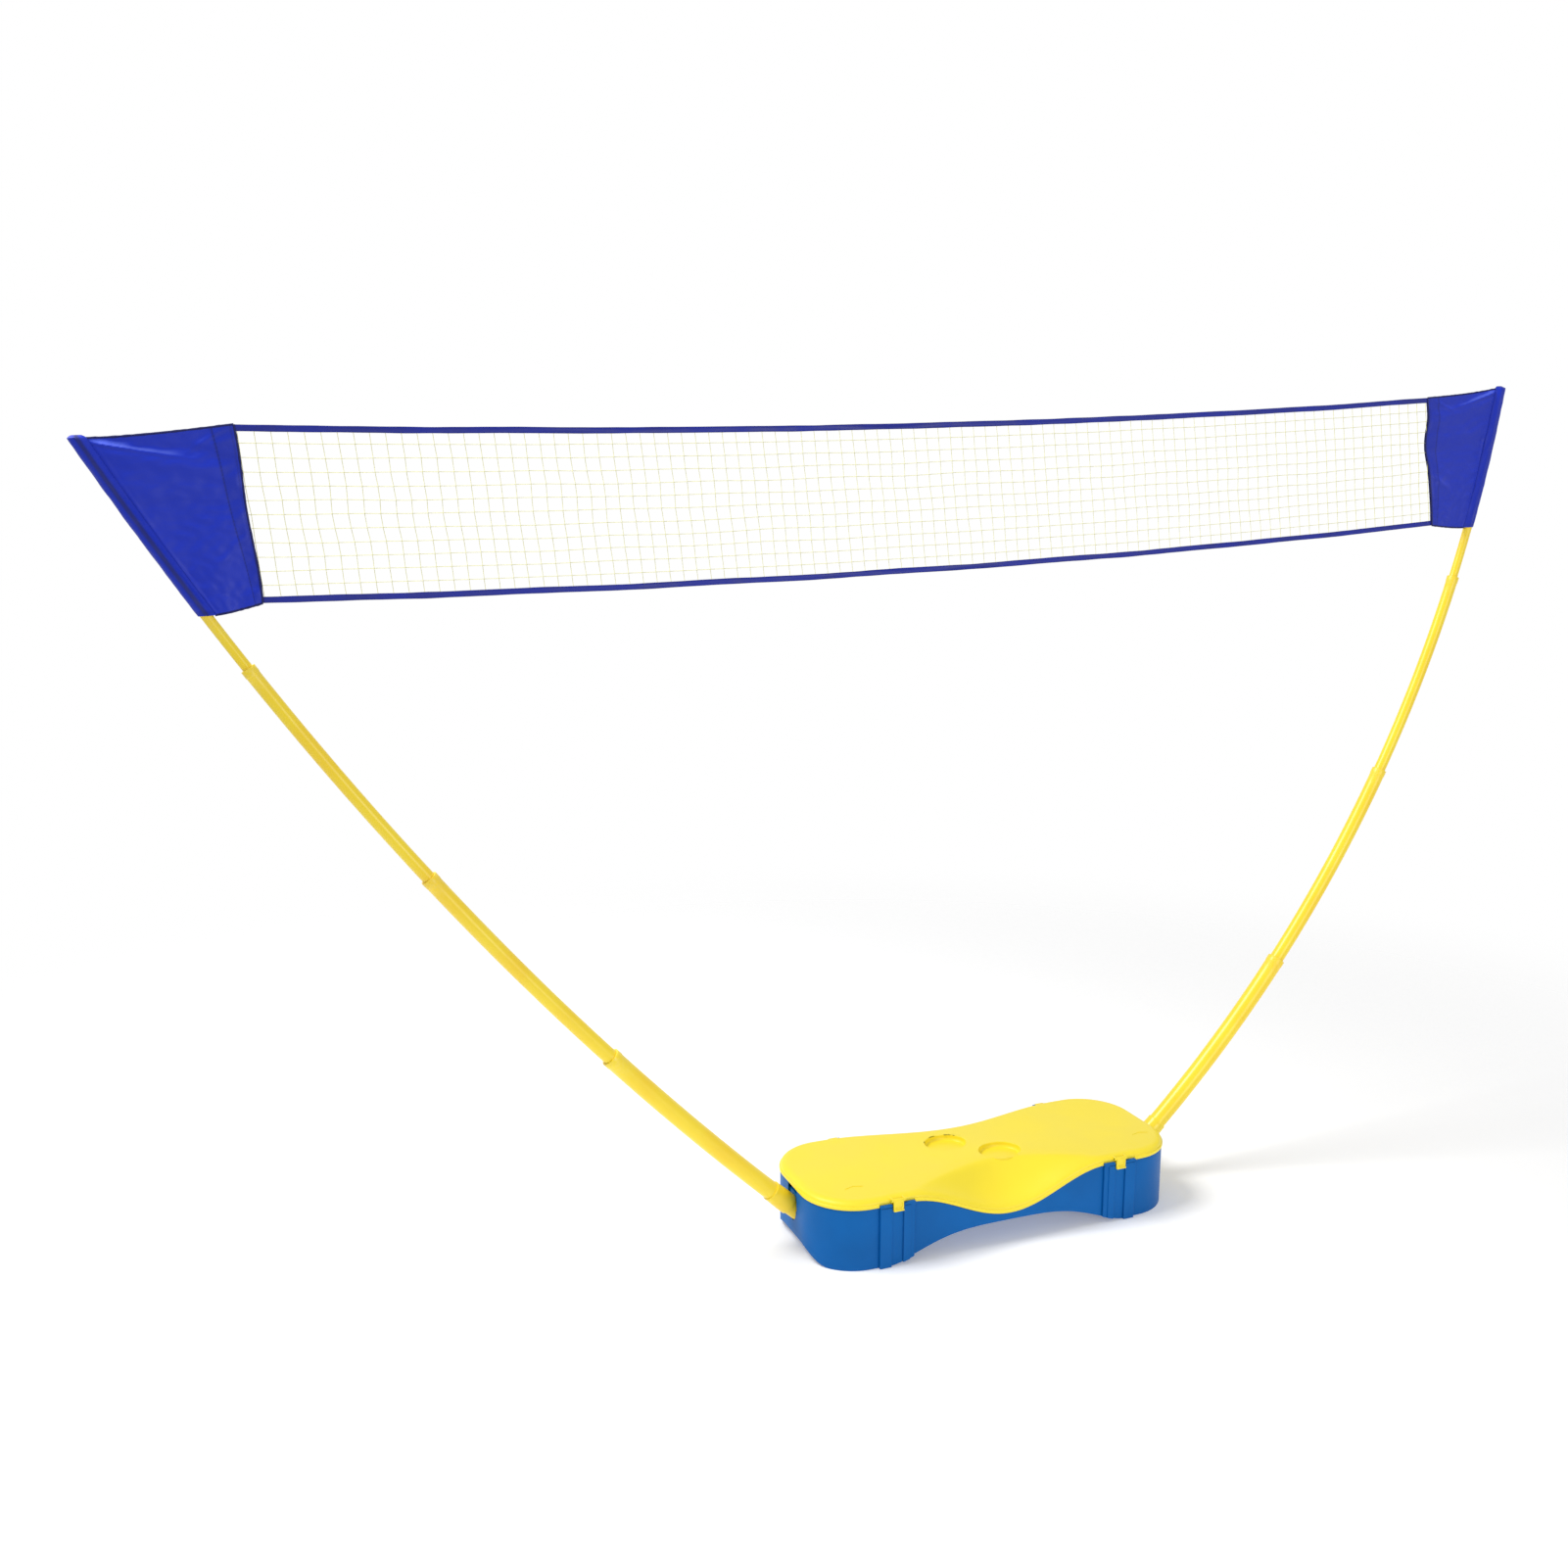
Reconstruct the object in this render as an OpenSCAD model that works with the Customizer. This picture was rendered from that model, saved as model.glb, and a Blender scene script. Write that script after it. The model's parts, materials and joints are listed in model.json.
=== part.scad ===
// Portable sports net set: a storage case that serves as the base, a four-draw
// telescopic pole in a slanted socket at each end, and a net strung between them.
// The slim poles bow under the pull of the net, one more than the other.

/* [Case] */
// Length of the case over the lid
case_l = 862; // [760:2:1040]
// Depth of the case over its lobes
case_d = 320; // [290:2:390]
// Corner radius of the case seen from above
corner_r = 112; // [70:2:120]
// How far the back of the case is drawn in at its middle
waist_in = 46; // [0:2:60]
// Height of the joint between tub and lid
joint_z = 130; // [124:1:150]
// Height of the lid above the joint
lid_h = 18; // [17:0.5:24]
// Wall of the moulded shells
wall = 3; // [2:0.5:4]
// Underside of the tub floor above the ground
floor_z = 50; // [50:1:55]
// Height of the arch below the long sides
arch_h = 49; // [30:1:49]
// Distance between the feet below the long sides
arch_w = 580; // [480:10:600]
// Distance between the feet below the short sides
end_arch_w = 252; // [200:2:260]
// Height of the arch below the short sides
end_arch_h = 29; // [20:1:49]

/* [Lid] */
// Width of the front scoop at the rim
scoop_w = 470; // [300:10:500]
// How far the rim drops in the middle of the scoop
scoop_drop = 66; // [20:2:68]
// Distance of the scoop's crest from the middle of the lid
crest_y = 72; // [60:2:90]
// How far the lid's rounded shoulder runs inwards
shoulder_run = 16; // [10:1:24]
// Height of the flange along the lid's lower edge
flange_h = 8; // [5:1:10]
// Width of that flange
flange_w = 2.5; // [1:0.5:4]
// Length of the two oval cups in the lid
cup_l = 94; // [70:2:96]
// Width of the cups
cup_w = 76; // [60:2:84]
// Depth of the cups
cup_depth = 12; // [8:1:14]
// Distance between the cup centres along the case
cup_dx = 92; // [88:2:110]
// Distance between the cup centres across the case
cup_dy = 76; // [60:2:78]
// How far the pair of cups stands right of the middle of the lid
cup_shift = -6; // [-20:1:20]

/* [Latches and hinges] */
// Distance between the two latches, and between the two hinges
latch_span = 530; // [500:10:560]
// Width of the raised pad on the tub behind a latch
pad_w = 78; // [60:2:90]
// Width of a latch
latch_w = 22; // [16:0.2:28]
// Thickness of a latch
latch_t = 3; // [2:0.5:3]
// Diameter of the latch pins and hinge pins
pin_d = 4; // [3:0.5:4]

/* [Poles] */
// Slope of the sockets above the ground, in degrees
foot_angle = 43; // [40:1:46]
// Distance of a pole's foot from the outside of the case
foot_out = 29; // [20:1:36]
// Depth of that point below the joint between tub and lid
foot_drop = 18; // [16:1:22]
// Bow radius of the left pole
bow_left = 6540; // [3500:10:9000]
// Bow radius of the right pole
bow_right = 2860; // [2600:10:9000]
// Length along the pole from its foot to the mouth of the lower tube
lower_end = 498; // [450:1:520]
// The same to the mouth of the middle tube
middle_end = 1007; // [970:1:1050]
// The same to the mouth of the upper tube
upper_end = 1490; // [1460:1:1540]
// The same to the end of the top rod
rod_end = 1920; // [1880:1:1960]
// Length of each draw that stays inside the one below it
overlap = 60; // [50:5:80]
// Outer diameter of the top rod
rod_d = 18.5; // [15:0.1:23]
// Bore of the top rod
rod_bore = 13; // [9:0.5:14]
// Wall of the upper tube
upper_wall = 2.35; // [1.5:0.05:3]
// Wall of the middle tube
middle_wall = 2.1; // [1.5:0.1:3]
// Wall of the lower tube
lower_wall = 2.6; // [1.5:0.1:3]
// Wall of the cuff round a pole's foot
cuff_t = 3; // [2:0.5:3]

/* [Net] */
// Length of a pole sleeve along the pole
sleeve_l = 322; // [280:2:330]
// Thickness of the sleeve cloth
cloth = 2; // [1:0.5:2.5]
// Width of an end panel along its top
panel_top_w = 238; // [180:2:280]
// Width of an end panel along its bottom
panel_bottom_w = 110; // [80:2:140]
// Width of the hem tapes
tape_w = 11; // [8:1:16]
// Number of mesh gaps along the net
mesh_cols = 46; // [20:1:48]
// Number of mesh gaps across the net
mesh_rows = 6; // [3:1:6]
// Thickness of the mesh cords
cord_d = 2; // [1.5:0.5:4]
// How far the net sags in its middle
net_sag = 24; // [0:2:60]

/* [Hidden] */

LEFT = -1;
RIGHT = 1;
SIDES = [LEFT, RIGHT];
blue = [0.07, 0.37, 0.66];
yellow = [0.99, 0.86, 0.24];
pole_yellow = [0.98, 0.82, 0.16];
cloth_blue = [0.13, 0.16, 0.66];
cord_yellow = [0.93, 0.90, 0.55];
steel = [0.7, 0.7, 0.72];

half_l = case_l/2;
half_d = case_d/2;
lid_top = joint_z + lid_h;
foot_x = half_l + foot_out;
foot_z = joint_z - foot_drop;
floor_top = floor_z + wall;
gap = 0.3;            // clearance between parts that move past each other
seam = 0.4;           // gap between the lid rim and the tub
tub_in = 2;           // the tub wall stands this far inside the lid rim
channel_play = 2;     // room on each side of a latch in its channel
channel_w = latch_w + 2*channel_play;

// Each draw of a pole slides in the next one down, so the diameters follow from the rod's.
flare = 0.6;          // how far the stop flare stands out
bore_gap = flare + gap;
function outer_of(inner_d, skin) = inner_d + 2*(bore_gap + skin);
upper_d = outer_of(rod_d, upper_wall);
middle_d = outer_of(upper_d, middle_wall);
lower_d = outer_of(middle_d, lower_wall);

edge_steps = 8;       // straight runs that draw a quarter round of the case outline
run_steps = 28;       // straight runs along the front and the back
fine = 32;            // sides of the round parts

// ---------- outline of the case, seen from above ----------
// A quarter round about [cx, cy] that starts at angle a.
function quarter(cx, cy, r, a) = [for (i = [0:edge_steps])
    [cx + r*cos(a + 90*i/edge_steps), cy + r*sin(a + 90*i/edge_steps)]];
side_run = half_l - corner_r - 20;
function drawn_in(x) = abs(x) < side_run ? waist_in*pow(cos(90*x/side_run), 2) : 0;
function back_edge(inset) = [for (i = [0:run_steps])
    let (x = side_run*(1 - 2*i/run_steps)) [x, half_d - inset - drawn_in(x)]];
function front_edge(inset) = [for (i = [0:run_steps])
    let (x = side_run*(2*i/run_steps - 1)) [x, inset - half_d]];
function case_outline(inset = 0) =
    let (cx = half_l - corner_r, cy = half_d - corner_r, r = corner_r - inset)
    concat(quarter(cx, cy, r, 0), back_edge(inset), quarter(-cx, cy, r, 90),
           quarter(-cx, -cy, r, 180), front_edge(inset), quarter(cx, -cy, r, 270));

module case_slab(inset, z0, z1) {
    translate([0, 0, z0]) linear_extrude(z1 - z0) polygon(case_outline(inset));
}

// ---------- the front scoop ----------
function rim_drop(x) = abs(x) < scoop_w/2 ? scoop_drop*pow(cos(180*x/scoop_w), 2) : 0;
function crest_at(x) = -crest_y - (half_d - crest_y - 6)*pow(min(abs(2*x/scoop_w), 1), 1.5);
// Share of the full drop at a point: 0 behind the crest, 1 at the front edge.
function scoop_share(x, y) = y >= crest_at(x) ? 0
    : 1 - pow(1 - min((crest_at(x) - y)/(half_d + crest_at(x)), 1), 2);
function scoop_at(x, y) = rim_drop(x)*scoop_share(x, y);

// ---------- the lid shell: a loft of closed rings ----------
// The rings run out over the top and the shoulder, down the flange and back up inside.
shoulder_steps = 4;
top_shares = [0.86, 0.68, 0.52, 0.40, 0.30, 0.20, 0.10];
function inset_point(outline, i, inset) = let (n = len(outline),
    along = outline[(i + 1) % n] - outline[(i + n - 1) % n], t = along/norm(along))
    [outline[i][0] - t[1]*inset, outline[i][1] + t[0]*inset];
// The spine is the line inside the lid that its top rings close in on.
spine_half = half_l - half_d;
function toward_spine(p, share) = p + ([max(min(p[0], spine_half), -spine_half)*0.97, 0] - p)*share;
function ring(points, h) = [for (p = points) [p[0], p[1], joint_z + h - scoop_at(p[0], p[1])]];
function inset_ring(base, inset, h) = ring([for (i = [0:len(base) - 1]) inset_point(base, i, inset)], h);
function top_ring(base, share, h) = ring([for (i = [0:len(base) - 1])
    toward_spine(inset_point(base, i, flange_w + shoulder_run), share)], h);
// The shoulder is a quarter of an oval from the wall up to the flat top, skin below the outside.
shoulder_rise = lid_h - flange_h - 1;
function shoulder_ring(base, k, skin) = let (a = 90*k/shoulder_steps)
    inset_ring(base, flange_w + skin + (shoulder_run - skin)*(1 - cos(a)),
               lid_h - skin - (shoulder_rise - skin)*(1 - sin(a)));

module lid_shell() {
    base = case_outline();
    n = len(base);
    rings = concat(
        [for (share = top_shares) top_ring(base, share, lid_h)],
        [for (k = [shoulder_steps:-1:0]) shoulder_ring(base, k, 0)],
        [inset_ring(base, flange_w, flange_h), inset_ring(base, 0, flange_h),
         inset_ring(base, 0, seam), inset_ring(base, flange_w + wall, seam)],
        [for (k = [0:shoulder_steps]) shoulder_ring(base, k, wall)],
        [for (j = [len(top_shares) - 1:-1:0]) top_ring(base, top_shares[j], lid_h - wall)]);
    m = len(rings);
    walls = [for (k = [0:m - 2]) for (i = [0:n - 1]) let (j = (i + 1) % n)
        each [[k*n + i, (k + 1)*n + j, (k + 1)*n + i], [k*n + i, k*n + j, (k + 1)*n + j]]];
    // The flat middle is closed by strips that run from each back point to the front point across.
    top_cap = [for (i = [0:n/2 - 2]) [n - 1 - i, n - 2 - i, i + 1, i]];
    inner_cap = [for (f = top_cap) [for (k = [3:-1:0]) (m - 1)*n + f[k]]];
    polyhedron([for (r = rings) each r], concat(walls, top_cap, inner_cap));
}

cup_at = [[cup_shift - cup_dx/2, cup_dy/2], [cup_shift + cup_dx/2, -cup_dy/2]];
// An oval cup about the point at, larger all round by skin, from a height above its floor.
cup_sides = 64;
module cup(at, skin, from, h) {
    translate([at[0], at[1], lid_top - cup_depth + from]) linear_extrude(h)
        polygon([for (i = [0:cup_sides - 1]) let (a = 360*i/cup_sides)
            [(cup_l/2 + skin)*cos(a), (cup_w/2 + skin)*sin(a)]]);
}

knuckle_r = 5;
knuckle_w = 20;
ear_w = 6;
// The back of the rim at the hinges: its outermost and its innermost point along one hinge.
hinge_reach = knuckle_w/2 + gap + ear_w;
rim_back = half_d - drawn_in(latch_span/2 + hinge_reach);
rim_front = half_d - drawn_in(latch_span/2 - hinge_reach);
hinge_y = rim_back + knuckle_r + 1;
hinge_z = joint_z + knuckle_r;
latch_y = -half_d - 2.6;
latch_z = joint_z + flange_h + 4.5;
barrel_r = 3.2;
lug_r = 3.4;
lug_w = 4;
pin_fit = 0.05;

// A round bar along X.
module bar_x(x0, x1, y, z, r) {
    translate([x0, y, z]) rotate([0, 90, 0]) cylinder(h = x1 - x0, r = r, $fn = fine);
}

module block(x0, x1, y0, y1, z0, z1) {
    translate([x0, y0, z0]) cube([x1 - x0, y1 - y0, z1 - z0]);
}

module lid() color(yellow) {
    difference() {
        union() {
            lid_shell();
            for (c = cup_at) cup(c, wall, -wall, cup_depth + wall - 2);
            for (side = SIDES) {
                lid_knuckle(side*latch_span/2);
                lid_lugs(side*latch_span/2);
            }
        }
        for (c = cup_at) cup(c, 0, 0, cup_depth + 1);
        for (side = SIDES) {
            x = side*latch_span/2;
            bar_x(x - knuckle_w, x + knuckle_w, hinge_y, hinge_z, pin_d/2 + gap/2);
            bar_x(x - channel_w, x + channel_w, latch_y, latch_z, pin_d/2 + pin_fit);
            // the flange is left out where the tub's pad stands
            block(x - pad_w/2 - 1, x + pad_w/2 + 1, -half_d - 1, flange_w - half_d,
                  joint_z - 1, joint_z + flange_h + 0.01);
        }
    }
}

module lid_knuckle(x) {
    bar_x(x - knuckle_w/2, x + knuckle_w/2, hinge_y, hinge_z, knuckle_r);
    block(x - knuckle_w/2, x + knuckle_w/2, rim_front - flange_w, hinge_y, joint_z + 1, joint_z + flange_h);
}

// Two lugs on the lid's front face hold a latch between them.
module lid_lugs(x) {
    for (side = SIDES) {
        lug_x = x + side*(latch_w/2 + gap + lug_w/2);
        block(lug_x - lug_w/2, lug_x + lug_w/2, latch_y - lug_r, flange_w + 2.5*wall - half_d,
              latch_z - lug_r, latch_z + lug_r);
    }
}

// ---------- the tub ----------
module along_front(y0, y1) {
    translate([0, y1, 0]) rotate([90, 0, 0]) linear_extrude(y1 - y0) children();
}
module along_ends() {
    translate([-half_l - 10, 0, 0]) rotate([90, 0, 90]) linear_extrude(case_l + 20) children();
}
arch_steps = 28;
arch_power = 1.8;     // the higher it is, the flatter the arch and the steeper its flanks
// An arch that swings down to the ground in an S on both sides.
function arch_z(u, h) = h*(1 + cos(180*pow(abs(u), arch_power)))/2;
module arch_profile(w, h) {
    polygon(concat([for (i = [0:arch_steps]) let (u = 2*i/arch_steps - 1) [u*w/2, arch_z(u, h)]],
                   [[w/2, -1], [-w/2, -1]]));
}
// The part of the front wall that gives way to the scoop, on the same points as the lid's rim.
module scoop_profile() {
    polygon(concat([for (p = front_edge(0)) [p[0], joint_z - rim_drop(p[0])]],
                   [[side_run, joint_z + 1], [-side_run, joint_z + 1]]));
}

// The notch that lets a pole out through the end wall: a slanted bore, open to the top.
notch_play = 1.3;
end_wall_x = half_l - tub_in - wall/2;
notch_z = foot_z - (foot_x - end_wall_x)*tan(foot_angle);
module pole_notch(side) {
    cuff_half = lower_d/2 + cuff_t + notch_play;
    x0 = side*end_wall_x - wall;
    x1 = side*end_wall_x + wall;
    intersection() {
        translate([side*foot_x, 0, foot_z]) rotate([0, side*(90 - foot_angle), 0])
            cylinder(h = 4*lower_d, r = lower_d/2 + notch_play, center = true, $fn = fine);
        block(x0, x1, -cuff_half, cuff_half, floor_top + 0.5, joint_z + 1);
    }
    block(x0, x1, -cuff_half, cuff_half, notch_z, joint_z + 1);
}
pad_out = 5;
pad_rise = 5;
channel_y = -half_d - 1;

module tub() color(blue) {
    difference() {
        union() {
            case_slab(tub_in, 0, joint_z);
            for (side = SIDES) {
                x = side*latch_span/2;
                block(x - pad_w/2, x + pad_w/2, -half_d - pad_out, tub_in - half_d + 1, 0, joint_z - 1);
                block(x - pad_w/2, x + pad_w/2, -half_d - pad_out, flange_w - half_d - gap,
                      joint_z - 2, joint_z + pad_rise);
                tub_ears(x);
            }
        }
        case_slab(tub_in + wall, floor_top, joint_z + 1);
        case_slab(tub_in + wall, -1, floor_z);
        along_front(-half_d - 1, half_d + 1) arch_profile(arch_w, arch_h);
        along_ends() arch_profile(end_arch_w, end_arch_h);
        along_front(-half_d - 1, 30 - half_d) scoop_profile();
        for (side = SIDES) {
            x = side*latch_span/2;
            block(x - channel_w/2, x + channel_w/2, -half_d - pad_out - 1, channel_y,
                  -1, joint_z + flange_h + 1);
            bar_x(x - knuckle_w, x + knuckle_w, hinge_y, hinge_z, pin_d/2 + pin_fit);
            pole_notch(side);
        }
    }
    for (side = SIDES) catch(side*latch_span/2);
}

catch_z = joint_z - 4;
catch_h = 2;
catch_out = 1.4;
// The ledge in the channel that a latch snaps over.
module catch(x) {
    block(x - channel_w/2, x + channel_w/2, channel_y - catch_out, channel_y + 0.5,
          catch_z, catch_z + catch_h);
}

ear_drop = 16;
module tub_ears(x) {
    for (side = SIDES) {
        x0 = x + side*(knuckle_w/2 + gap + ear_w/2) - ear_w/2;
        bar_x(x0, x0 + ear_w, hinge_y, hinge_z, knuckle_r);
        block(x0, x0 + ear_w, hinge_y - knuckle_r, hinge_y + knuckle_r, joint_z - ear_drop, hinge_z);
        block(x0, x0 + ear_w, rim_front - tub_in - wall/2, hinge_y + knuckle_r,
              joint_z - ear_drop, joint_z);
    }
}

module hinge_pins() color(steel) {
    for (side = SIDES) {
        x = side*latch_span/2;
        bar_x(x - hinge_reach, x + hinge_reach, hinge_y, hinge_z, pin_d/2);
    }
}

// ---------- the latches ----------
latch_in = channel_y - catch_out - gap;
latch_foot = catch_z - 2.5;
rail_w = 3;
rail_out = 1.5;
lip_out = 4;
module latch(x) color(yellow) {
    face = latch_in - latch_t;
    difference() {
        union() {
            bar_x(x - latch_w/2, x + latch_w/2, latch_y, latch_z, barrel_r);
            block(x - latch_w/2, x + latch_w/2, face, latch_in, latch_foot, latch_z);
            // two rails stiffen the latch
            for (side = SIDES) {
                rail_x = x + side*(latch_w - rail_w)/2;
                block(rail_x - rail_w/2, rail_x + rail_w/2, face - rail_out, face + 0.5,
                      latch_foot, latch_z - barrel_r);
            }
            // the finger lip along the bottom
            block(x - latch_w/2, x + latch_w/2, face - lip_out, latch_in, latch_foot - rail_w, latch_foot);
        }
        bar_x(x - latch_w, x + latch_w, latch_y, latch_z, pin_d/2 + gap/2);
    }
}

module latch_pins() color(steel) {
    for (side = SIDES) {
        w = latch_w/2 + gap + lug_w;
        bar_x(side*latch_span/2 - w, side*latch_span/2 + w, latch_y, latch_z, pin_d/2);
    }
}

// ---------- the poles ----------
function bow(side) = side < 0 ? bow_left : bow_right;
// Slope of a pole and the place of its centre line, at a length s from its foot.
function slope_at(side, s) = foot_angle + s/bow(side)*180/PI;
function pole_at(side, s) = let (r = bow(side), a = slope_at(side, s))
    [side*(foot_x + r*(sin(a) - sin(foot_angle))), foot_z + r*(cos(foot_angle) - cos(a))];
// The direction square to the pole, on the net's side.
function pole_normal(side, s) = let (a = slope_at(side, s)) [-side*sin(a), cos(a)];

// Sweeps a flat outline along the bow of a pole, from length s0 to s1.
sweep_step = 60;      // length of one straight run of a swept part
module along_pole(side, s0, s1) {
    r = bow(side);
    turn = 180/PI/r;
    mirror([side < 0 ? 1 : 0, 0, 0])
        translate([foot_x - r*sin(foot_angle), 0, foot_z + r*cos(foot_angle)])
            rotate([90, 0, 0])
                rotate_extrude(angle = (s1 - s0)*turn, start = foot_angle - 90 + s0*turn,
                               $fn = ceil(2*PI*r/sweep_step))
                    translate([r, 0]) children();
}

module rod_along(side, s0, s1, r) {
    along_pole(side, s0, s1) circle(r = r, $fn = tube_sides);
}

tube_sides = 24;
lip = 14;             // length of the narrow mouth of a draw
bead = 0.7;           // how far the rim of a mouth stands out
stop_play = 1;        // play left between flare and mouth when a draw is pulled out
flare_l = overlap - lip - stop_play;
over = 1;             // how far a cut runs past an end

// One tubular draw from s0 to s1. inner_d is the outer diameter of the draw that slides in it.
module draw_tube(side, s0, s1, outer_d, inner_d, has_flare) {
    difference() {
        union() {
            rod_along(side, s0, s1, outer_d/2);
            if (has_flare) rod_along(side, s0, s0 + flare_l, outer_d/2 + flare);
            rod_along(side, s1 - lip, s1, outer_d/2 + bead);
        }
        rod_along(side, s0 - over, s1 - lip, inner_d/2 + bore_gap);
        rod_along(side, s1 - lip - over, s1 + over, inner_d/2 + gap);
    }
}

// The lower end of a sliding draw that the mouth at length s holds.
function draw_start(mouth) = mouth - overlap;
grip = 10;            // how far a pole's foot stands in its socket
tube_foot = -(foot_out + tub_in + wall + 1 + grip)/cos(foot_angle);

module lower_tube(side) color(pole_yellow) {
    draw_tube(side, tube_foot, lower_end, lower_d, middle_d, false);
}
module middle_tube(side) color(pole_yellow) {
    draw_tube(side, draw_start(lower_end), middle_end, middle_d, upper_d, true);
}
module upper_tube(side) color(pole_yellow) {
    draw_tube(side, draw_start(middle_end), upper_end, upper_d, rod_d, true);
}
module top_rod(side) color(pole_yellow) {
    s0 = draw_start(upper_end);
    difference() {
        union() {
            rod_along(side, s0, rod_end, rod_d/2);
            rod_along(side, s0, s0 + flare_l, rod_d/2 + flare);
        }
        rod_along(side, s0 - over, rod_end + over, rod_bore/2);
    }
}

cap_l = 10;
cap_head = 5;
// A plug in the open end of the rod.
module tip_cap(side) color(pole_yellow) {
    rod_along(side, rod_end - cap_l, rod_end + cap_head/2, rod_bore/2 - pin_fit);
    rod_along(side, rod_end, rod_end + cap_head, rod_d/2);
}

// The cuff round a pole where it leaves the case.
cuff_s0 = -30;
cuff_s1 = 24;
cuff_play = 0.1;
module cuff(side) color(pole_yellow) {
    difference() {
        rod_along(side, cuff_s0, cuff_s1, lower_d/2 + cuff_t);
        rod_along(side, cuff_s0 - over, cuff_s1 + over, lower_d/2 + cuff_play);
    }
}

// ---------- the sockets inside the case ----------
socket_len = 34;
socket_half = lower_d/2 + cuff_t + 5;
socket_top = joint_z - 14;
base_half = socket_half + 17;
base_len = 52;
base_t = 4;
screw_y = socket_half + 9;
socket_x1 = half_l - tub_in - wall - 1;
socket_play = 0.2;
socket_x0 = socket_x1 - socket_len;
screw_x = socket_x1 - base_len/2;
screw_r = 2;
module socket(side) color(blue) {
    difference() {
        mirror([side < 0 ? 1 : 0, 0, 0]) difference() {
            union() {
                block(socket_x0, socket_x1, -socket_half, socket_half, floor_top, socket_top);
                block(socket_x1 - base_len, socket_x1, -base_half, base_half,
                      floor_top, floor_top + base_t);
            }
            for (y = [-screw_y, screw_y])
                translate([screw_x, y, floor_top - 1])
                    cylinder(h = base_t + 2, r = screw_r + pin_fit, $fn = 24);
        }
        rod_along(side, tube_foot - gap, -tube_foot, lower_d/2 + socket_play);
        rod_along(side, cuff_s0 - gap, -tube_foot, lower_d/2 + cuff_t + gap);
    }
}

module socket_screws() color(steel) {
    for (side = SIDES) for (y = [-screw_y, screw_y])
        translate([side*screw_x, y, 0]) {
            translate([0, 0, floor_top]) cylinder(h = base_t + 0.5, r = screw_r, $fn = 24);
            translate([0, 0, floor_top + base_t]) cylinder(h = 2.4, r = 2*screw_r, $fn = 24);
        }
}

// ---------- the net ----------
sleeve_s0 = rod_end - sleeve_l;
sleeve_s1 = rod_end + cap_head;
sleeve_in = rod_d/2 + gap;
sleeve_out = sleeve_in + cloth;
function unit(v) = v/norm(v);
top_line = unit(pole_at(RIGHT, rod_end) - pole_at(LEFT, rod_end));
bottom_line = unit(pole_at(RIGHT, sleeve_s0) - pole_at(LEFT, sleeve_s0));
// Where an end panel meets the mesh, at its top and its bottom.
function panel_top(side) = pole_at(side, rod_end) - side*panel_top_w*top_line;
function panel_bottom(side) = pole_at(side, sleeve_s0) - side*panel_bottom_w*bottom_line;
corners = [panel_bottom(LEFT), panel_bottom(RIGHT), panel_top(LEFT), panel_top(RIGHT)];
net_h = norm(corners[2] - corners[0]);
// A point of the net: u runs from left to right, v from the bottom to the top.
function net_at(u, v) = corners[0]*(1 - u)*(1 - v) + corners[1]*u*(1 - v) + corners[2]*(1 - u)*v
    + corners[3]*u*v - [0, net_sag*4*u*(1 - u)];

// A pocket of cloth over the rod, closed above the tip.
module sleeve(side) color(cloth_blue) {
    difference() {
        rod_along(side, sleeve_s0, sleeve_s1 + gap + cloth, sleeve_out);
        rod_along(side, sleeve_s0 - over, sleeve_s1 + gap, sleeve_in);
    }
}

// Stands a flat outline, drawn in X and Z, in the plane of the net.
module in_net_plane(thick) {
    translate([0, thick/2, 0]) rotate([90, 0, 0]) linear_extrude(thick) children();
}

panel_steps = 12;
module panel(side) color(cloth_blue) {
    away = sleeve_out + gap;
    in_net_plane(3) polygon(concat(
        [for (i = [0:panel_steps]) let (s = sleeve_s0 + sleeve_l*i/panel_steps)
            pole_at(side, s) + away*pole_normal(side, s)],
        [panel_top(side), panel_bottom(side)]));
}

// Shares of the net's length and height, and one column and one row of the mesh.
net_l = norm(corners[1] - corners[0]);
edge_u = gap/net_l;
tape_v = tape_w/net_h;
du = (1 - 2*edge_u)/mesh_cols;
dv = (1 - 2*tape_v)/mesh_rows;
// A strip of the net between two heights, with a point at each column.
module strip(v0, v1) {
    polygon(concat([for (i = [0:mesh_cols]) net_at(edge_u + i*du, v0)],
                   [for (i = [mesh_cols:-1:0]) net_at(edge_u + i*du, v1)]));
}
module tape(v0, v1) color(cloth_blue) in_net_plane(3) strip(v0, v1);

// The mesh: a sheet of cords round its gaps, between the two tapes.
module net_mesh() color(cord_yellow) {
    cord_u = cord_d/2/net_l;
    cord_v = cord_d/2/net_h;
    in_net_plane(cord_d) difference() {
        strip(tape_v, 1 - tape_v);
        for (i = [0:mesh_cols - 1]) for (j = [0:mesh_rows - 1]) {
            u0 = edge_u + i*du + cord_u;
            u1 = edge_u + (i + 1)*du - cord_u;
            v0 = tape_v + j*dv + cord_v;
            v1 = tape_v + (j + 1)*dv - cord_v;
            polygon([net_at(u0, v0), net_at(u1, v0), net_at(u1, v1), net_at(u0, v1)]);
        }
    }
}

// The origin lies on the ground, midway between the tips of the two poles.
mid_x = (pole_at(LEFT, rod_end)[0] + pole_at(RIGHT, rod_end)[0])/2;
module placed() {
    translate([-mid_x, 0, 0]) children();
}

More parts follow.
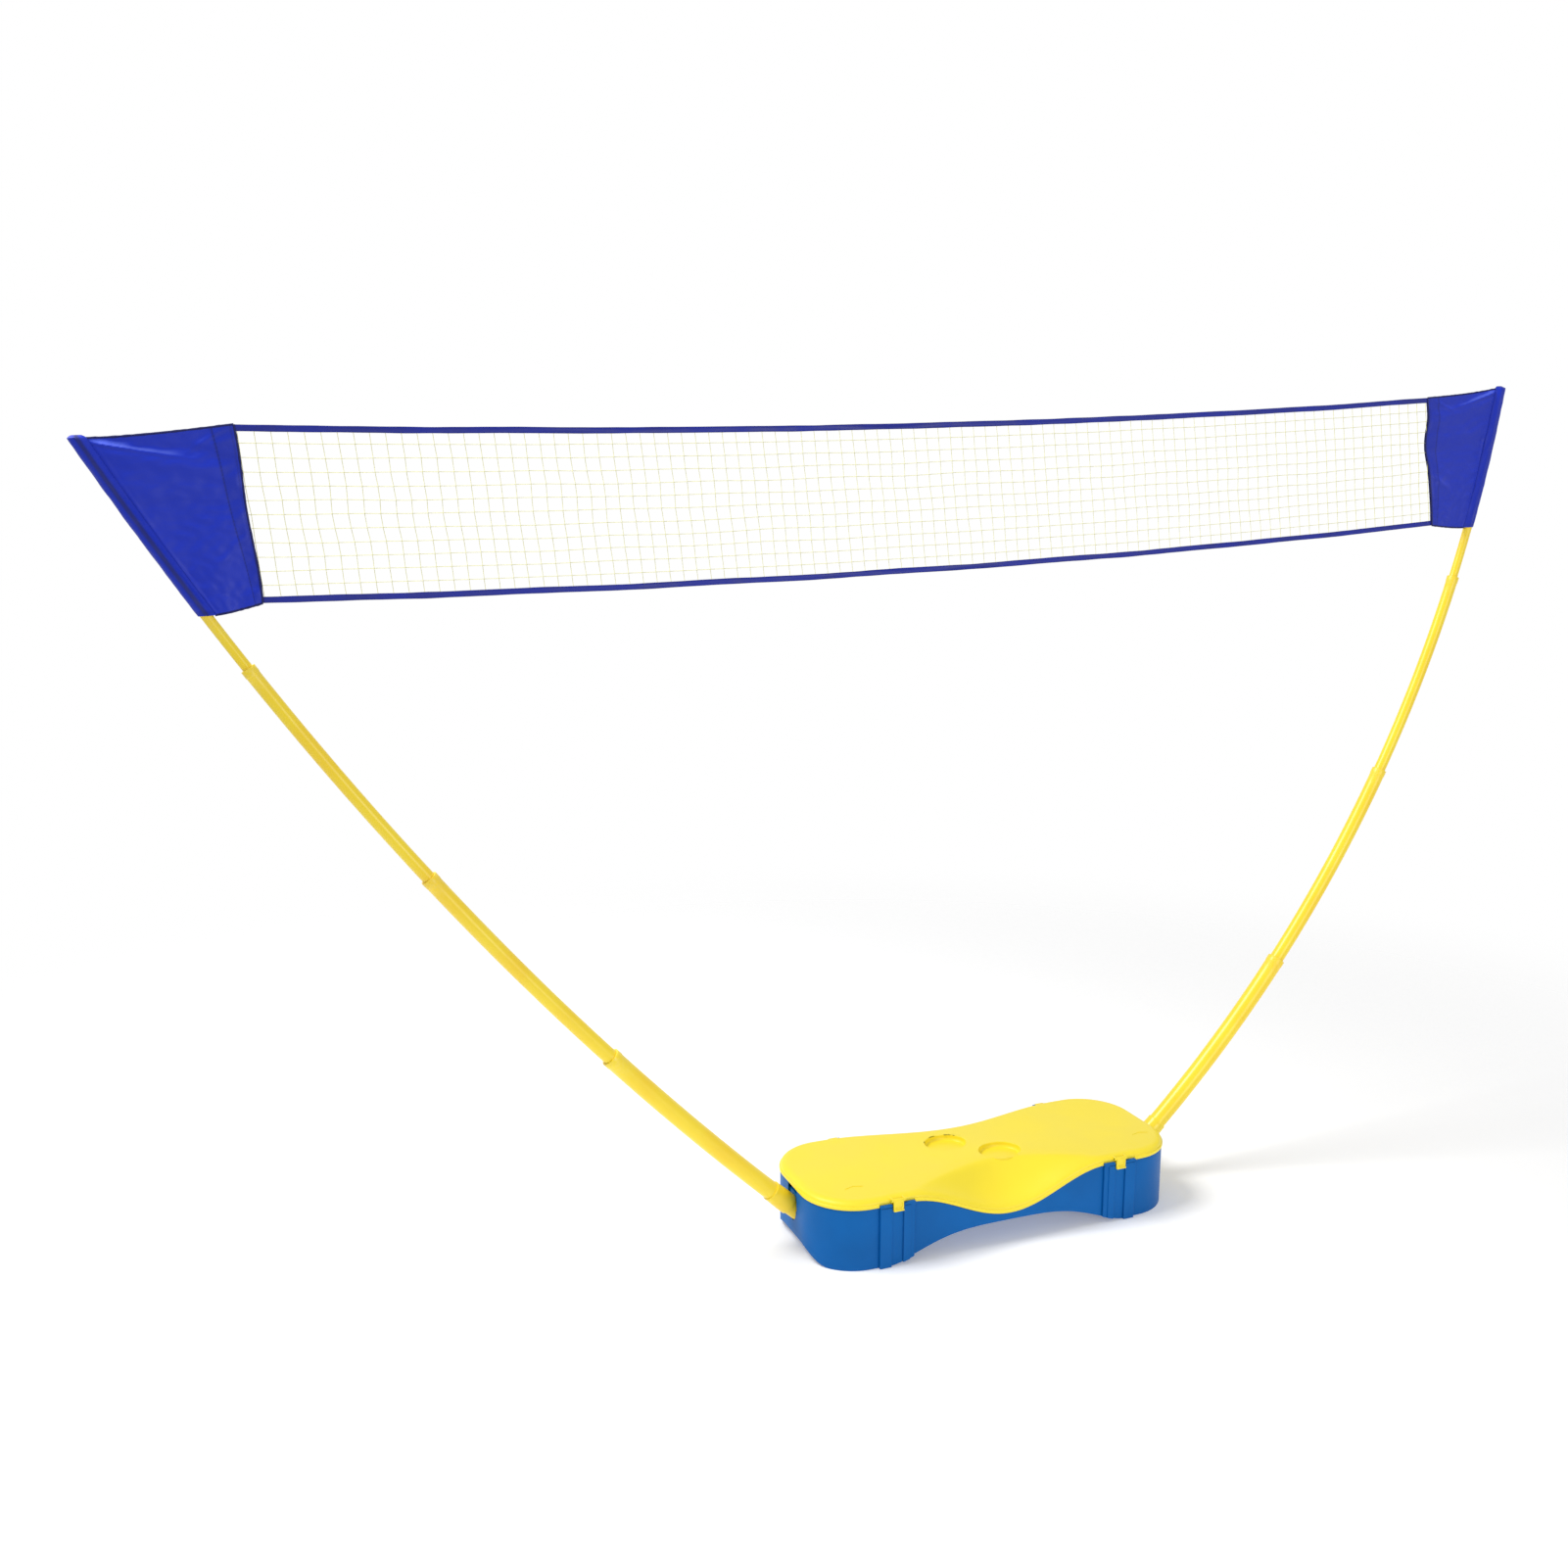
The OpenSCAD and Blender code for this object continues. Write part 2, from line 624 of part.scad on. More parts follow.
placed() tub();
placed() lid();
placed() latch(LEFT*latch_span/2);  // latch_left
placed() latch(RIGHT*latch_span/2);  // latch_right
placed() latch_pins();
placed() hinge_pins();
placed() socket(LEFT);  // socket_left
placed() socket(RIGHT);  // socket_right
placed() socket_screws();
placed() cuff(LEFT);  // cuff_left
placed() cuff(RIGHT);  // cuff_right
placed() lower_tube(LEFT);  // left_lower_tube
placed() middle_tube(LEFT);  // left_middle_tube
placed() upper_tube(LEFT);  // left_upper_tube
placed() top_rod(LEFT);  // left_top_rod
placed() tip_cap(LEFT);  // left_tip_cap
placed() lower_tube(RIGHT);  // right_lower_tube
placed() middle_tube(RIGHT);  // right_middle_tube
placed() upper_tube(RIGHT);  // right_upper_tube
placed() top_rod(RIGHT);  // right_top_rod
placed() tip_cap(RIGHT);  // right_tip_cap
placed() sleeve(LEFT);  // left_sleeve
placed() panel(LEFT);  // left_panel
placed() sleeve(RIGHT);  // right_sleeve
placed() panel(RIGHT);  // right_panel
placed() net_mesh();
placed() tape(1 - tape_v, 1);  // top_tape
placed() tape(0, tape_v);  // bottom_tape
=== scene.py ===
"""Builds the finished look of a portable sports net set around its packed frame.

The set is a storage case that serves as the base, two telescopic poles that bow
outwards from its ends, and a net strung between them. Lengths are in metres.
"""

import json
import math

import bpy
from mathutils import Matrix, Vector, noise


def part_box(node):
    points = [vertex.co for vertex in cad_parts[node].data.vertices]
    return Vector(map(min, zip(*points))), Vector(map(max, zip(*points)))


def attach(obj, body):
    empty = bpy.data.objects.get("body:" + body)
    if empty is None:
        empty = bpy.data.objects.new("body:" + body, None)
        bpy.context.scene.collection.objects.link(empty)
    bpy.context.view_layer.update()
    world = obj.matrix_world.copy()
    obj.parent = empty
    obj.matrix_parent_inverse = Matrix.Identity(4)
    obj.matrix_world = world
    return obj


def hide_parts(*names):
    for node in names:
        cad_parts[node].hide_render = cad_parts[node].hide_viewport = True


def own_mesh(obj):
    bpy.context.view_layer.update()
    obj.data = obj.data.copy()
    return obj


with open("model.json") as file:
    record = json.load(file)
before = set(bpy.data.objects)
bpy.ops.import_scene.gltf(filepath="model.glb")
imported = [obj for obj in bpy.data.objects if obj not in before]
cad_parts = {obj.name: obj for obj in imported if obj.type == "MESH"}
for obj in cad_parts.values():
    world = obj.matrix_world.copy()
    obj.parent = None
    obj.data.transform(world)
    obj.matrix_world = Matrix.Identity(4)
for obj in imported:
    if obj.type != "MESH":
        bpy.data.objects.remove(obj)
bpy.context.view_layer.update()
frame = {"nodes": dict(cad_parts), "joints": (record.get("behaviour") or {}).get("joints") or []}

bl_info = {
    "name": "Portable sports net set",
    "version": (1, 0, 0),
    "blender": (4, 5, 0),
    "location": "View3D > Sidebar > Net set",
    "description": "Builds a net set on its storage case, with telescopic poles and a cloth-edged net",
    "category": "Add Mesh",
}

MM = 0.001
LEFT, RIGHT = -1, 1
SIDES = {"left": LEFT, "right": RIGHT}

LID_LOW, LID_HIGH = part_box("lid")
CASE_X = (LID_LOW.x + LID_HIGH.x) / 2
HALF_LENGTH = (LID_HIGH.x - LID_LOW.x) / 2
LID_TOP = LID_HIGH.z
LATCH_LOW, LATCH_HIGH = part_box("latch_left")
LATCH_OFFSET = CASE_X - (LATCH_LOW.x + LATCH_HIGH.x) / 2
JOINTS = {joint["name"]: joint for joint in frame["joints"]}
HINGE_AXIS = Vector(JOINTS["lid_hinge"]["pos_m"])
LATCH_AXIS = Vector(JOINTS["latch_left_hinge"]["pos_m"])
PIN_BORE = 2.15 * MM  # radius of the holes that turn on a pin
PLAY = 0.3 * MM  # gap between moving pieces, side by side
CHANNEL_FLOOR = 0.001  # how far the floor of a latch's channel stands out from the case
LEDGE = 0.0014  # how far the ledge that a latch snaps on stands out from that floor
MERGE = 1e-6  # vertices closer than this are one
ALONG_Y = Vector((0, 1, 0))


# ---------------------------------------------------------------- settings
def length(name, description, default):
    """A length that the sidebar shows in the scene's unit."""
    return bpy.props.FloatProperty(
        name=name, description=description, default=default, unit="LENGTH", subtype="DISTANCE"
    )


def place(name, description, x, y, z):
    """A point in space."""
    return bpy.props.FloatVectorProperty(
        name=name, description=description, default=(x, y, z), size=3, unit="LENGTH", subtype="TRANSLATION"
    )


def power(name, description, default):
    """The power of a lamp."""
    return bpy.props.FloatProperty(name=name, description=description, default=default, min=0, unit="POWER")


def colour(name, description, red, green, blue):
    """A colour from its display values, from 0 to 255."""
    linear = [((v / 255 + 0.055) / 1.055) ** 2.4 for v in (red, green, blue)]
    return bpy.props.FloatVectorProperty(
        name=name, description=description, default=(*linear, 1.0), size=4, min=0, max=1, subtype="COLOR"
    )


class CaseSettings(bpy.types.PropertyGroup):
    """Sizes and colours of the storage case."""

    depth: length("Depth", "Depth of the case over its lobes", 0.320)
    corner: length("Corner", "Corner radius seen from above", 0.112)
    waist: length("Waist", "How far the back is drawn in at its middle", 0.046)
    lid_height: length("Lid height", "Height of the lid above the joint", 0.018)
    wall: length("Wall", "Wall of the moulded shells", 0.003)
    floor: length("Floor", "Underside of the tub floor above the ground", 0.050)
    arch_height: length("Arch height", "Height of the arches between the feet", 0.049)
    arch_width: length("Arch width", "Distance between the feet below the long sides", 0.580)
    end_arch_width: length("End arch width", "Distance between the feet below the short sides", 0.252)
    end_arch_height: length("End arch height", "Height of the arches below the short sides", 0.029)
    scoop_width: length("Scoop width", "Width of the front scoop at the rim", 0.470)
    scoop_drop: length("Scoop drop", "How far the rim drops in the middle of the scoop", 0.066)
    crest: length("Crest", "Distance of the scoop's crest from the middle of the lid", 0.072)
    shoulder: length("Shoulder", "How far the lid's rounded shoulder runs inwards", 0.016)
    flange: length("Flange", "Height of the flange along the lid's lower edge", 0.008)
    flange_out: length("Flange width", "How far the flange stands out", 0.0025)
    tub_inset: length("Tub inset", "How far the tub wall stands inside the lid rim", 0.002)
    cup_length: length("Cup length", "Length of the two oval cups", 0.094)
    cup_width: length("Cup width", "Width of the cups", 0.076)
    cup_depth: length("Cup depth", "Depth of the cups", 0.012)
    cup_spread: length("Cup spread", "Distance between the cup centres along the case", 0.092)
    cup_stagger: length("Cup stagger", "Distance between the cup centres across the case", 0.076)
    cup_shift: length("Cup shift", "How far the pair of cups stands right of the lid's middle", -0.006)
    pad_width: length("Pad width", "Width of the raised pads on the tub", 0.078)
    channel_width: length("Channel width", "Width of the channel that a latch lies in", 0.026)
    lid_colour: colour("Lid colour", "Colour of the lid and the latches", 252, 229, 52)
    tub_colour: colour("Tub colour", "Colour of the tub", 2, 96, 170)


class PoleSettings(bpy.types.PropertyGroup):
    """Sizes and colours of the telescopic poles."""

    slope: bpy.props.FloatProperty(
        name="Slope",
        description="Slope of a pole at its foot",
        default=math.radians(43),
        unit="ROTATION",
        subtype="ANGLE",
    )
    foot: length("Foot", "Distance of a pole's foot from the middle of the case", 0.460)
    foot_height: length("Foot height", "Height of a pole's foot", 0.112)
    left_bow: length("Left bow", "Bow radius of the left pole", 6.540)
    right_bow: length("Right bow", "Bow radius of the right pole", 2.860)
    lower_end: length("Lower end", "Length from the foot to the lower tube's mouth", 0.498)
    middle_end: length("Middle end", "Length from the foot to the middle tube's mouth", 1.007)
    upper_end: length("Upper end", "Length from the foot to the upper tube's mouth", 1.490)
    rod_end: length("Rod end", "Length from the foot to the end of the rod", 1.920)
    overlap: length("Overlap", "Length of a draw that stays in the one below", 0.060)
    tube_foot: length("Tube foot", "Length of the lower tube inside the case", 0.0615)
    lower_width: length("Lower diameter", "Outer diameter of the lower tube", 0.038)
    middle_width: length("Middle diameter", "Outer diameter of the middle tube", 0.031)
    upper_width: length("Upper diameter", "Outer diameter of the upper tube", 0.025)
    rod_width: length("Rod diameter", "Outer diameter of the rod", 0.0185)
    bore_gap: length("Bore gap", "Gap round a draw inside the one below", 0.0009)
    colour: colour("Colour", "Colour of the poles", 255, 224, 44)


class NetSettings(bpy.types.PropertyGroup):
    """Sizes and colours of the net and its cloth."""

    sleeve: length("Sleeve", "Length of a pole sleeve", 0.322)
    panel_top: length("Panel top", "Width of an end panel along its top", 0.238)
    panel_bottom: length("Panel bottom", "Width of an end panel along its bottom", 0.110)
    tape: length("Tape", "Width of the hem tapes", 0.011)
    sag: length("Sag", "How far the net sags in its middle", 0.026)
    hem: length("Hem", "Width of an end panel's inner hem", 0.028)
    cord: length("Cord", "Thickness of the netting's cord", 0.0013)
    columns: bpy.props.IntProperty(name="Columns", description="Meshes along the net", default=98, min=10)
    rows: bpy.props.IntProperty(name="Rows", description="Meshes across the net", default=12, min=3)
    cloth_colour: colour("Cloth", "Colour of the end panels", 10, 46, 194)
    hem_colour: colour("Hems", "Colour of the hems and tapes", 10, 30, 146)
    cord_colour: colour("Cord colour", "Colour of the netting", 240, 236, 150)


class StudioSettings(bpy.types.PropertyGroup):
    """The camera and the light."""

    place: place("Camera place", "Where the camera stands", -1.3372, -2.6231, 1.4873)
    aim: place("Camera aim", "The point that the camera looks at", -0.290, 0.0, 0.979)
    lens: bpy.props.FloatProperty(name="Lens", description="Focal length in mm", default=33.46, min=10)
    key_power: power("Key light", "Power of the main lamp", 218)
    fill_power: power("Fill light", "Power of the second lamp", 58)
    sky: bpy.props.FloatProperty(name="Sky", description="Strength of the even light", default=0.43, min=0)


SETTINGS = {
    "net_case": CaseSettings,
    "net_poles": PoleSettings,
    "net_cloth": NetSettings,
    "net_studio": StudioSettings,
}


# ---------------------------------------------------------------- modelling helpers
def choose(*objs):
    """Selects these objects alone, with the first one active."""
    bpy.ops.object.select_all(action="DESELECT")
    for obj in objs:
        obj.select_set(True)
    if objs:
        bpy.context.view_layer.objects.active = objs[0]


def added(name):
    """Names the primitive that was added last, and its mesh."""
    obj = bpy.context.object
    obj.name = obj.data.name = name
    return obj


def edit(obj):
    """Opens obj in edit mode with all of it selected."""
    choose(obj)
    bpy.ops.object.mode_set(mode="EDIT")
    bpy.ops.mesh.select_all(action="SELECT")


def leave():
    bpy.ops.object.mode_set(mode="OBJECT")


def pick(obj, kind, wanted):
    """Opens obj in edit mode with the vertices, edges or faces selected that pass wanted(middle, element)."""
    choose(obj)
    bpy.context.tool_settings.mesh_select_mode = (True, False, False)
    points = obj.data.vertices
    groups = {"VERT": points, "EDGE": obj.data.edges, "FACE": obj.data.polygons}
    for group in groups.values():
        group.foreach_set("select", [False] * len(group))
    for element in groups[kind]:
        if kind == "VERT":
            middle = element.co
        elif kind == "EDGE":
            middle = (points[element.vertices[0]].co + points[element.vertices[1]].co) / 2
        else:
            middle = element.center
        element.select = wanted(middle, element)
    bpy.ops.object.mode_set(mode="EDIT")
    bpy.ops.mesh.select_mode(type=kind)


def put(obj, points):
    """Moves the vertices of obj to these points, in order."""
    for vertex, point in zip(obj.data.vertices, points, strict=True):
        vertex.co = point
    obj.data.update()


def mark(obj, name, values):
    """Stores a number at each vertex, for the material."""
    store = obj.data.attributes.new(name, "FLOAT", "POINT")
    for item, value in zip(store.data, values):
        item.value = value


def turns(count):
    """The angles that cut a full turn into equal parts."""
    return [2 * math.pi * i / count for i in range(count)]


def quarter_turn(steps):
    """Angles from 0 to a quarter turn."""
    return [math.pi / 2 * i / steps for i in range(steps + 1)]


def divided(profile, step, closed=False):
    """The profile with its long runs cut into steps, so that it can follow a curve."""
    points = []
    for a, b in zip(profile, profile[1:] + profile[: int(closed)]):
        pieces = max(1, round(abs(b[0] - a[0]) / step))
        for i in range(pieces):
            points.append((a[0] + (b[0] - a[0]) * i / pieces, a[1] + (b[1] - a[1]) * i / pieces))
    return points if closed else points + [profile[-1]]


def loft(name, rings, closed=False, capped=True):
    """Extrudes a first ring through the others. Each ring is a list of as many points."""
    count = len(rings[0])
    last = count * (len(rings) - 1)
    choose()
    bpy.ops.mesh.primitive_circle_add(vertices=count, fill_type="NOTHING")
    obj = added(name)
    edit(obj)
    for _ in rings[1:]:
        bpy.ops.mesh.extrude_region_move(TRANSFORM_OT_translate={"value": (0, 0, 1)})
    leave()
    put(obj, [point for ring in rings for point in ring])
    if closed:
        pick(obj, "VERT", lambda point, vertex: vertex.index < count or vertex.index >= last)
        bpy.ops.mesh.bridge_edge_loops()
        leave()
    elif capped:
        for first in (0, last):
            pick(obj, "VERT", lambda point, vertex: first <= vertex.index < first + count)
            bpy.ops.mesh.edge_face_add()
            leave()
    outwards(obj)
    return obj


def outwards(obj):
    """Merges doubled vertices and points every face outwards."""
    edit(obj)
    bpy.ops.mesh.remove_doubles(threshold=MERGE)
    bpy.ops.mesh.normals_make_consistent(inside=False)
    leave()


def modify(obj, kind, **values):
    """Adds a modifier and applies it."""
    choose(obj)
    made = obj.modifiers.new(kind.lower(), kind)
    for key, value in values.items():
        setattr(made, key, value)
    bpy.ops.object.modifier_apply(modifier=made.name)


def combine(obj, tool, operation):
    """Adds the solid tool to obj, or cuts it out of obj, and removes the tool."""
    modify(obj, "BOOLEAN", operation=operation, object=tool, solver="EXACT")
    bpy.data.objects.remove(tool)


def join(name, pieces):
    """Makes the pieces one object."""
    choose(*pieces)
    bpy.ops.object.join()
    return added(name)


def soften(obj, width, segments=2):
    """Rounds the sharp edges of obj."""
    modify(obj, "BEVEL", width=width, segments=segments, limit_method="ANGLE", angle_limit=math.radians(35))
    return obj


def smooth(obj, angle=35):
    """Shades obj smooth, apart from the edges sharper than the angle."""
    choose(obj)
    bpy.ops.object.shade_smooth_by_angle(angle=math.radians(angle))
    return obj


def block(name, low, high):
    """A box between two corners, in case coordinates, as a start for a piece."""
    choose()
    middle = [(a + b) / 2 for a, b in zip(low, high)]
    bpy.ops.mesh.primitive_cube_add(size=1, location=(CASE_X + middle[0], middle[1], middle[2]))
    obj = added(name)
    obj.scale = [b - a for a, b in zip(low, high)]
    bpy.ops.object.transform_apply(location=True, rotation=True, scale=True)
    return obj


def bar(name, x0, x1, axis, radius):
    """A round bar along X, in case coordinates, about an axis."""
    ring = [(axis.y + radius * math.cos(a), axis.z + radius * math.sin(a)) for a in turns(40)]
    return loft(name, [[(CASE_X + x, y, z) for y, z in ring] for x in (x0, x1)])


def drill(obj, x0, x1, axis, radius=PIN_BORE, past=0.01):
    """Cuts a hole for a pin along X, with a tool that runs past both ends."""
    combine(obj, bar("pin_hole", x0 - past, x1 + past, axis, radius), "DIFFERENCE")


def grid(name, columns, rows):
    """A flat grid, and where its vertices stand from 0 to 1 along it and across it."""
    choose()
    bpy.ops.mesh.primitive_grid_add(x_subdivisions=columns, y_subdivisions=rows, size=2)
    obj = added(name)
    return obj, [((vertex.co.x + 1) / 2, (vertex.co.y + 1) / 2) for vertex in obj.data.vertices]


def finish(obj, body, look, *replaced):
    """Gives a piece its material, its body and the nodes that it stands for."""
    obj.data.materials.clear()
    obj.data.materials.append(look_of(look))
    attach(obj, body)
    if replaced:
        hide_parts(*replaced)
    return obj


# ---------------------------------------------------------------- materials
class Term:
    """A number on its way through a material. Arithmetic on it makes nodes."""

    def __init__(self, look, socket):
        self.look, self.socket = look, socket

    def __add__(self, other):
        return self.look.maths("ADD", self, other)

    def __radd__(self, other):
        return self.look.maths("ADD", other, self)

    def __sub__(self, other):
        return self.look.maths("SUBTRACT", self, other)

    def __rsub__(self, other):
        return self.look.maths("SUBTRACT", other, self)

    def __mul__(self, other):
        return self.look.maths("MULTIPLY", self, other)

    def __rmul__(self, other):
        return self.look.maths("MULTIPLY", other, self)

    def sine(self):
        return self.look.maths("SINE", self)

    def ramp(self, low, high, to_low=0.0, to_high=1.0):
        """Maps low..high onto to_low..to_high, held at the ends."""
        inputs = {"Value": self, "From Min": low, "From Max": high, "To Min": to_low, "To Max": to_high}
        made = self.look.node("ShaderNodeMapRange", inputs, interpolation_type="SMOOTHSTEP")
        return Term(self.look, made.outputs[0])


class Look:
    """A material under construction round one principled shader."""

    def __init__(self, name, base, roughness, **constants):
        self.material = bpy.data.materials.new(name)
        self.material.use_nodes = True
        self.tree = self.material.node_tree
        self.shader = next(n for n in self.tree.nodes if n.type == "BSDF_PRINCIPLED")
        self.set("Base Color", base)
        self.set("Roughness", roughness)
        for key, value in constants.items():
            self.set(key.replace("_", " ").title().replace("Ior", "IOR"), value)
        self.base = base
        self.place = self.node("ShaderNodeTexCoord").outputs["Object"]

    def node(self, kind, inputs=None, **settings):
        """Makes a node, sets it up and links or fills its inputs."""
        made = self.tree.nodes.new(kind)
        for key, value in settings.items():
            setattr(made, key, value)
        for key, value in (inputs or {}).items():
            self.feed(made.inputs[key], value)
        return made

    def feed(self, socket, value):
        if isinstance(value, Term):
            value = value.socket
        if isinstance(value, bpy.types.NodeSocket):
            self.tree.links.new(value, socket)
        else:
            socket.default_value = value

    def set(self, name, value):
        self.feed(self.shader.inputs[name], value)

    def maths(self, operation, *terms):
        made = self.node("ShaderNodeMath", dict(enumerate(terms)), operation=operation)
        return Term(self, made.outputs[0])

    def cloudy(self, scale, detail=2.0, roughness=0.5, stretch=(1, 1, 1)):
        """Soft noise from 0 to 1, with features about 1/scale metres wide."""
        where = self.node("ShaderNodeMapping", {"Vector": self.place, "Scale": stretch}).outputs[0]
        inputs = {"Vector": where, "Scale": scale, "Detail": detail, "Roughness": roughness}
        return Term(self, self.node("ShaderNodeTexNoise", inputs).outputs["Fac"])

    def axis(self, name):
        return Term(self, self.node("ShaderNodeSeparateXYZ", {"Vector": self.place}).outputs[name])

    def along(self, attribute):
        """A number that the piece's mesh carries at its vertices."""
        return Term(self, self.node("ShaderNodeAttribute", attribute_name=attribute).outputs["Fac"])

    def blend(self, share, first, second):
        """A colour between two."""
        made = self.node("ShaderNodeMix", {0: share, 6: first, 7: second}, data_type="RGBA")
        return made.outputs[2]

    def tinted(self, factor):
        """The base colour, darker below a factor of 1 and paler above."""
        return tuple(min(1.0, c * factor) for c in self.base[:3]) + (1.0,)

    def bump(self, height, depth, strength):
        inputs = {"Height": height, "Distance": depth, "Strength": strength}
        self.set("Normal", self.node("ShaderNodeBump", inputs).outputs[0])


def moulded(name, base, roughness, paler, darker, gloss=0.4):
    """Injection-moulded plastic: a fine grain, faint flow marks and scuffs that dull the gloss."""
    look = Look(name, base, roughness, Ior=1.49, Specular_Ior_Level=gloss)
    flow = look.cloudy(7, detail=3)
    scuff = look.cloudy(45, detail=6, roughness=0.7, stretch=(1, 0.3, 1)).ramp(0.58, 0.74)
    look.set("Base Color", look.blend(flow.ramp(0.3, 0.7), look.tinted(darker), look.tinted(paler)))
    look.set("Roughness", flow.ramp(0.3, 0.7, roughness - 0.04, roughness + 0.04) + scuff * 0.08)
    look.bump(look.cloudy(900, detail=3, roughness=0.6) + scuff * 0.2, 0.1 * MM, 0.4)
    return look.material


def pole_skin(name, base):
    """Drawn plastic tube: faint lengthwise streaks and rub marks where the draws slide."""
    look = Look(name, base, 0.34, Ior=1.5, Specular_Ior_Level=0.45, Coat_Weight=0.15, Coat_Roughness=0.2)
    streak = look.cloudy(9, detail=2)
    rub = look.along("rub") * look.cloudy(240, detail=4, roughness=0.7).ramp(0.42, 0.62)
    warm = (base[0] * 0.99, base[1] * 0.93, base[2] * 0.85, 1)
    scuffed = (0.93, 0.82, 0.5, 1)
    body = look.blend(streak.ramp(0.35, 0.75), look.tinted(1.02), warm)
    look.set("Base Color", look.blend(rub * 0.2, body, scuffed))
    look.set("Roughness", streak.ramp(0.3, 0.7, 0.3, 0.38) + rub * 0.2)
    look.bump(look.cloudy(420, detail=3), 0.06 * MM, 0.4)
    return look.material


def satin(name, base, hem=False):
    """Woven polyester satin: a fine plain weave under a faint silky gloss, with seams where the mesh says so.
    On the panels and sleeves the base colour also carries painted highlights and painted fold shade from the
    mesh's light numbers, and on the sleeves the seam numbers carry a painted shade stripe too.
    """
    look = Look(
        name, base, 0.42, Sheen_Weight=0.04, Sheen_Roughness=0.4, Specular_Ior_Level=0.36, Anisotropic=0.3
    )
    look.set("Sheen Tint", (0.55, 0.62, 1.0, 1))
    thread = 2 * math.pi / (0.9 * MM)
    weave = (look.axis("X") * thread).sine() * (look.axis("Z") * thread).sine()
    cloud = look.cloudy(14, detail=4, stretch=(1, 1, 1.6))
    seam = look.along("seam")
    if hem:
        tone = look.blend(cloud.ramp(0.3, 0.7), look.tinted(0.85), look.tinted(1.15))
        crumple = look.cloudy(70, detail=5, roughness=0.6)
    else:
        # Painted light: the light numbers darken the cloth to a painted fold shade and lift it to a painted
        # highlight, with a pale blue painted glint on the brightest crests.
        light, painted_glint = look.along("light"), (0.13, 0.20, 0.80, 1)
        tone = look.blend(light, look.blend(cloud, look.tinted(0.40), look.tinted(0.5)), look.tinted(1.5))
        tone = look.blend(light.ramp(0.66, 1.0) * 0.5, tone, painted_glint)
        crumple = look.cloudy(38, detail=5, roughness=0.55)
    # The seam numbers darken the colour along seams and hems; on the sleeves they also hold a painted shade
    # stripe.
    look.set("Base Color", look.blend(seam, tone, look.tinted(0.25)))
    look.set("Roughness", cloud.ramp(0.35, 0.7, 0.36, 0.5) + seam * 0.2)
    look.bump(weave * 0.06 + crumple - seam * 0.5, 0.6 * MM, 0.5)
    return look.material


def netting_cord(name, base):
    """Twisted nylon cord."""
    look = Look(name, base, 0.5, Specular_Ior_Level=0.4)
    twist = ((look.axis("X") + look.axis("Z")) * (2 * math.pi / (2.2 * MM))).sine()
    look.set("Base Color", look.blend(twist.ramp(-1, 1), look.tinted(0.86), look.tinted(1.0)))
    look.bump(twist, 0.2 * MM, 0.5)
    return look.material


def steel(name, base):
    """Plated steel pins and screws."""
    look = Look(name, base, 0.3, Metallic=1.0)
    worn = look.cloudy(300, detail=4, stretch=(0.2, 1, 1))
    look.set("Roughness", worn.ramp(0.3, 0.7, 0.22, 0.42))
    look.bump(worn, 0.05 * MM, 0.5)
    return look.material


LOOKS = {}


def look_of(name):
    """The finished material of that name, made when it is first asked for."""
    if name not in LOOKS:
        case, poles, net = (getattr(bpy.context.scene, key) for key in ("net_case", "net_poles", "net_cloth"))
        maker, base, *settings = {
            "lid_plastic": (moulded, case.lid_colour, 0.40, 1.01, 0.98),
            "tub_plastic": (moulded, case.tub_colour, 0.42, 1.08, 0.92, 0.14),
            "pole_plastic": (pole_skin, poles.colour),
            "panel_satin": (satin, net.cloth_colour),
            "hem_satin": (satin, net.hem_colour, True),
            "net_cord": (netting_cord, net.cord_colour),
            "plated_steel": (steel, (0.62, 0.62, 0.64, 1)),
        }[name]
        LOOKS[name] = maker(name, tuple(base), *settings)
    return LOOKS[name]


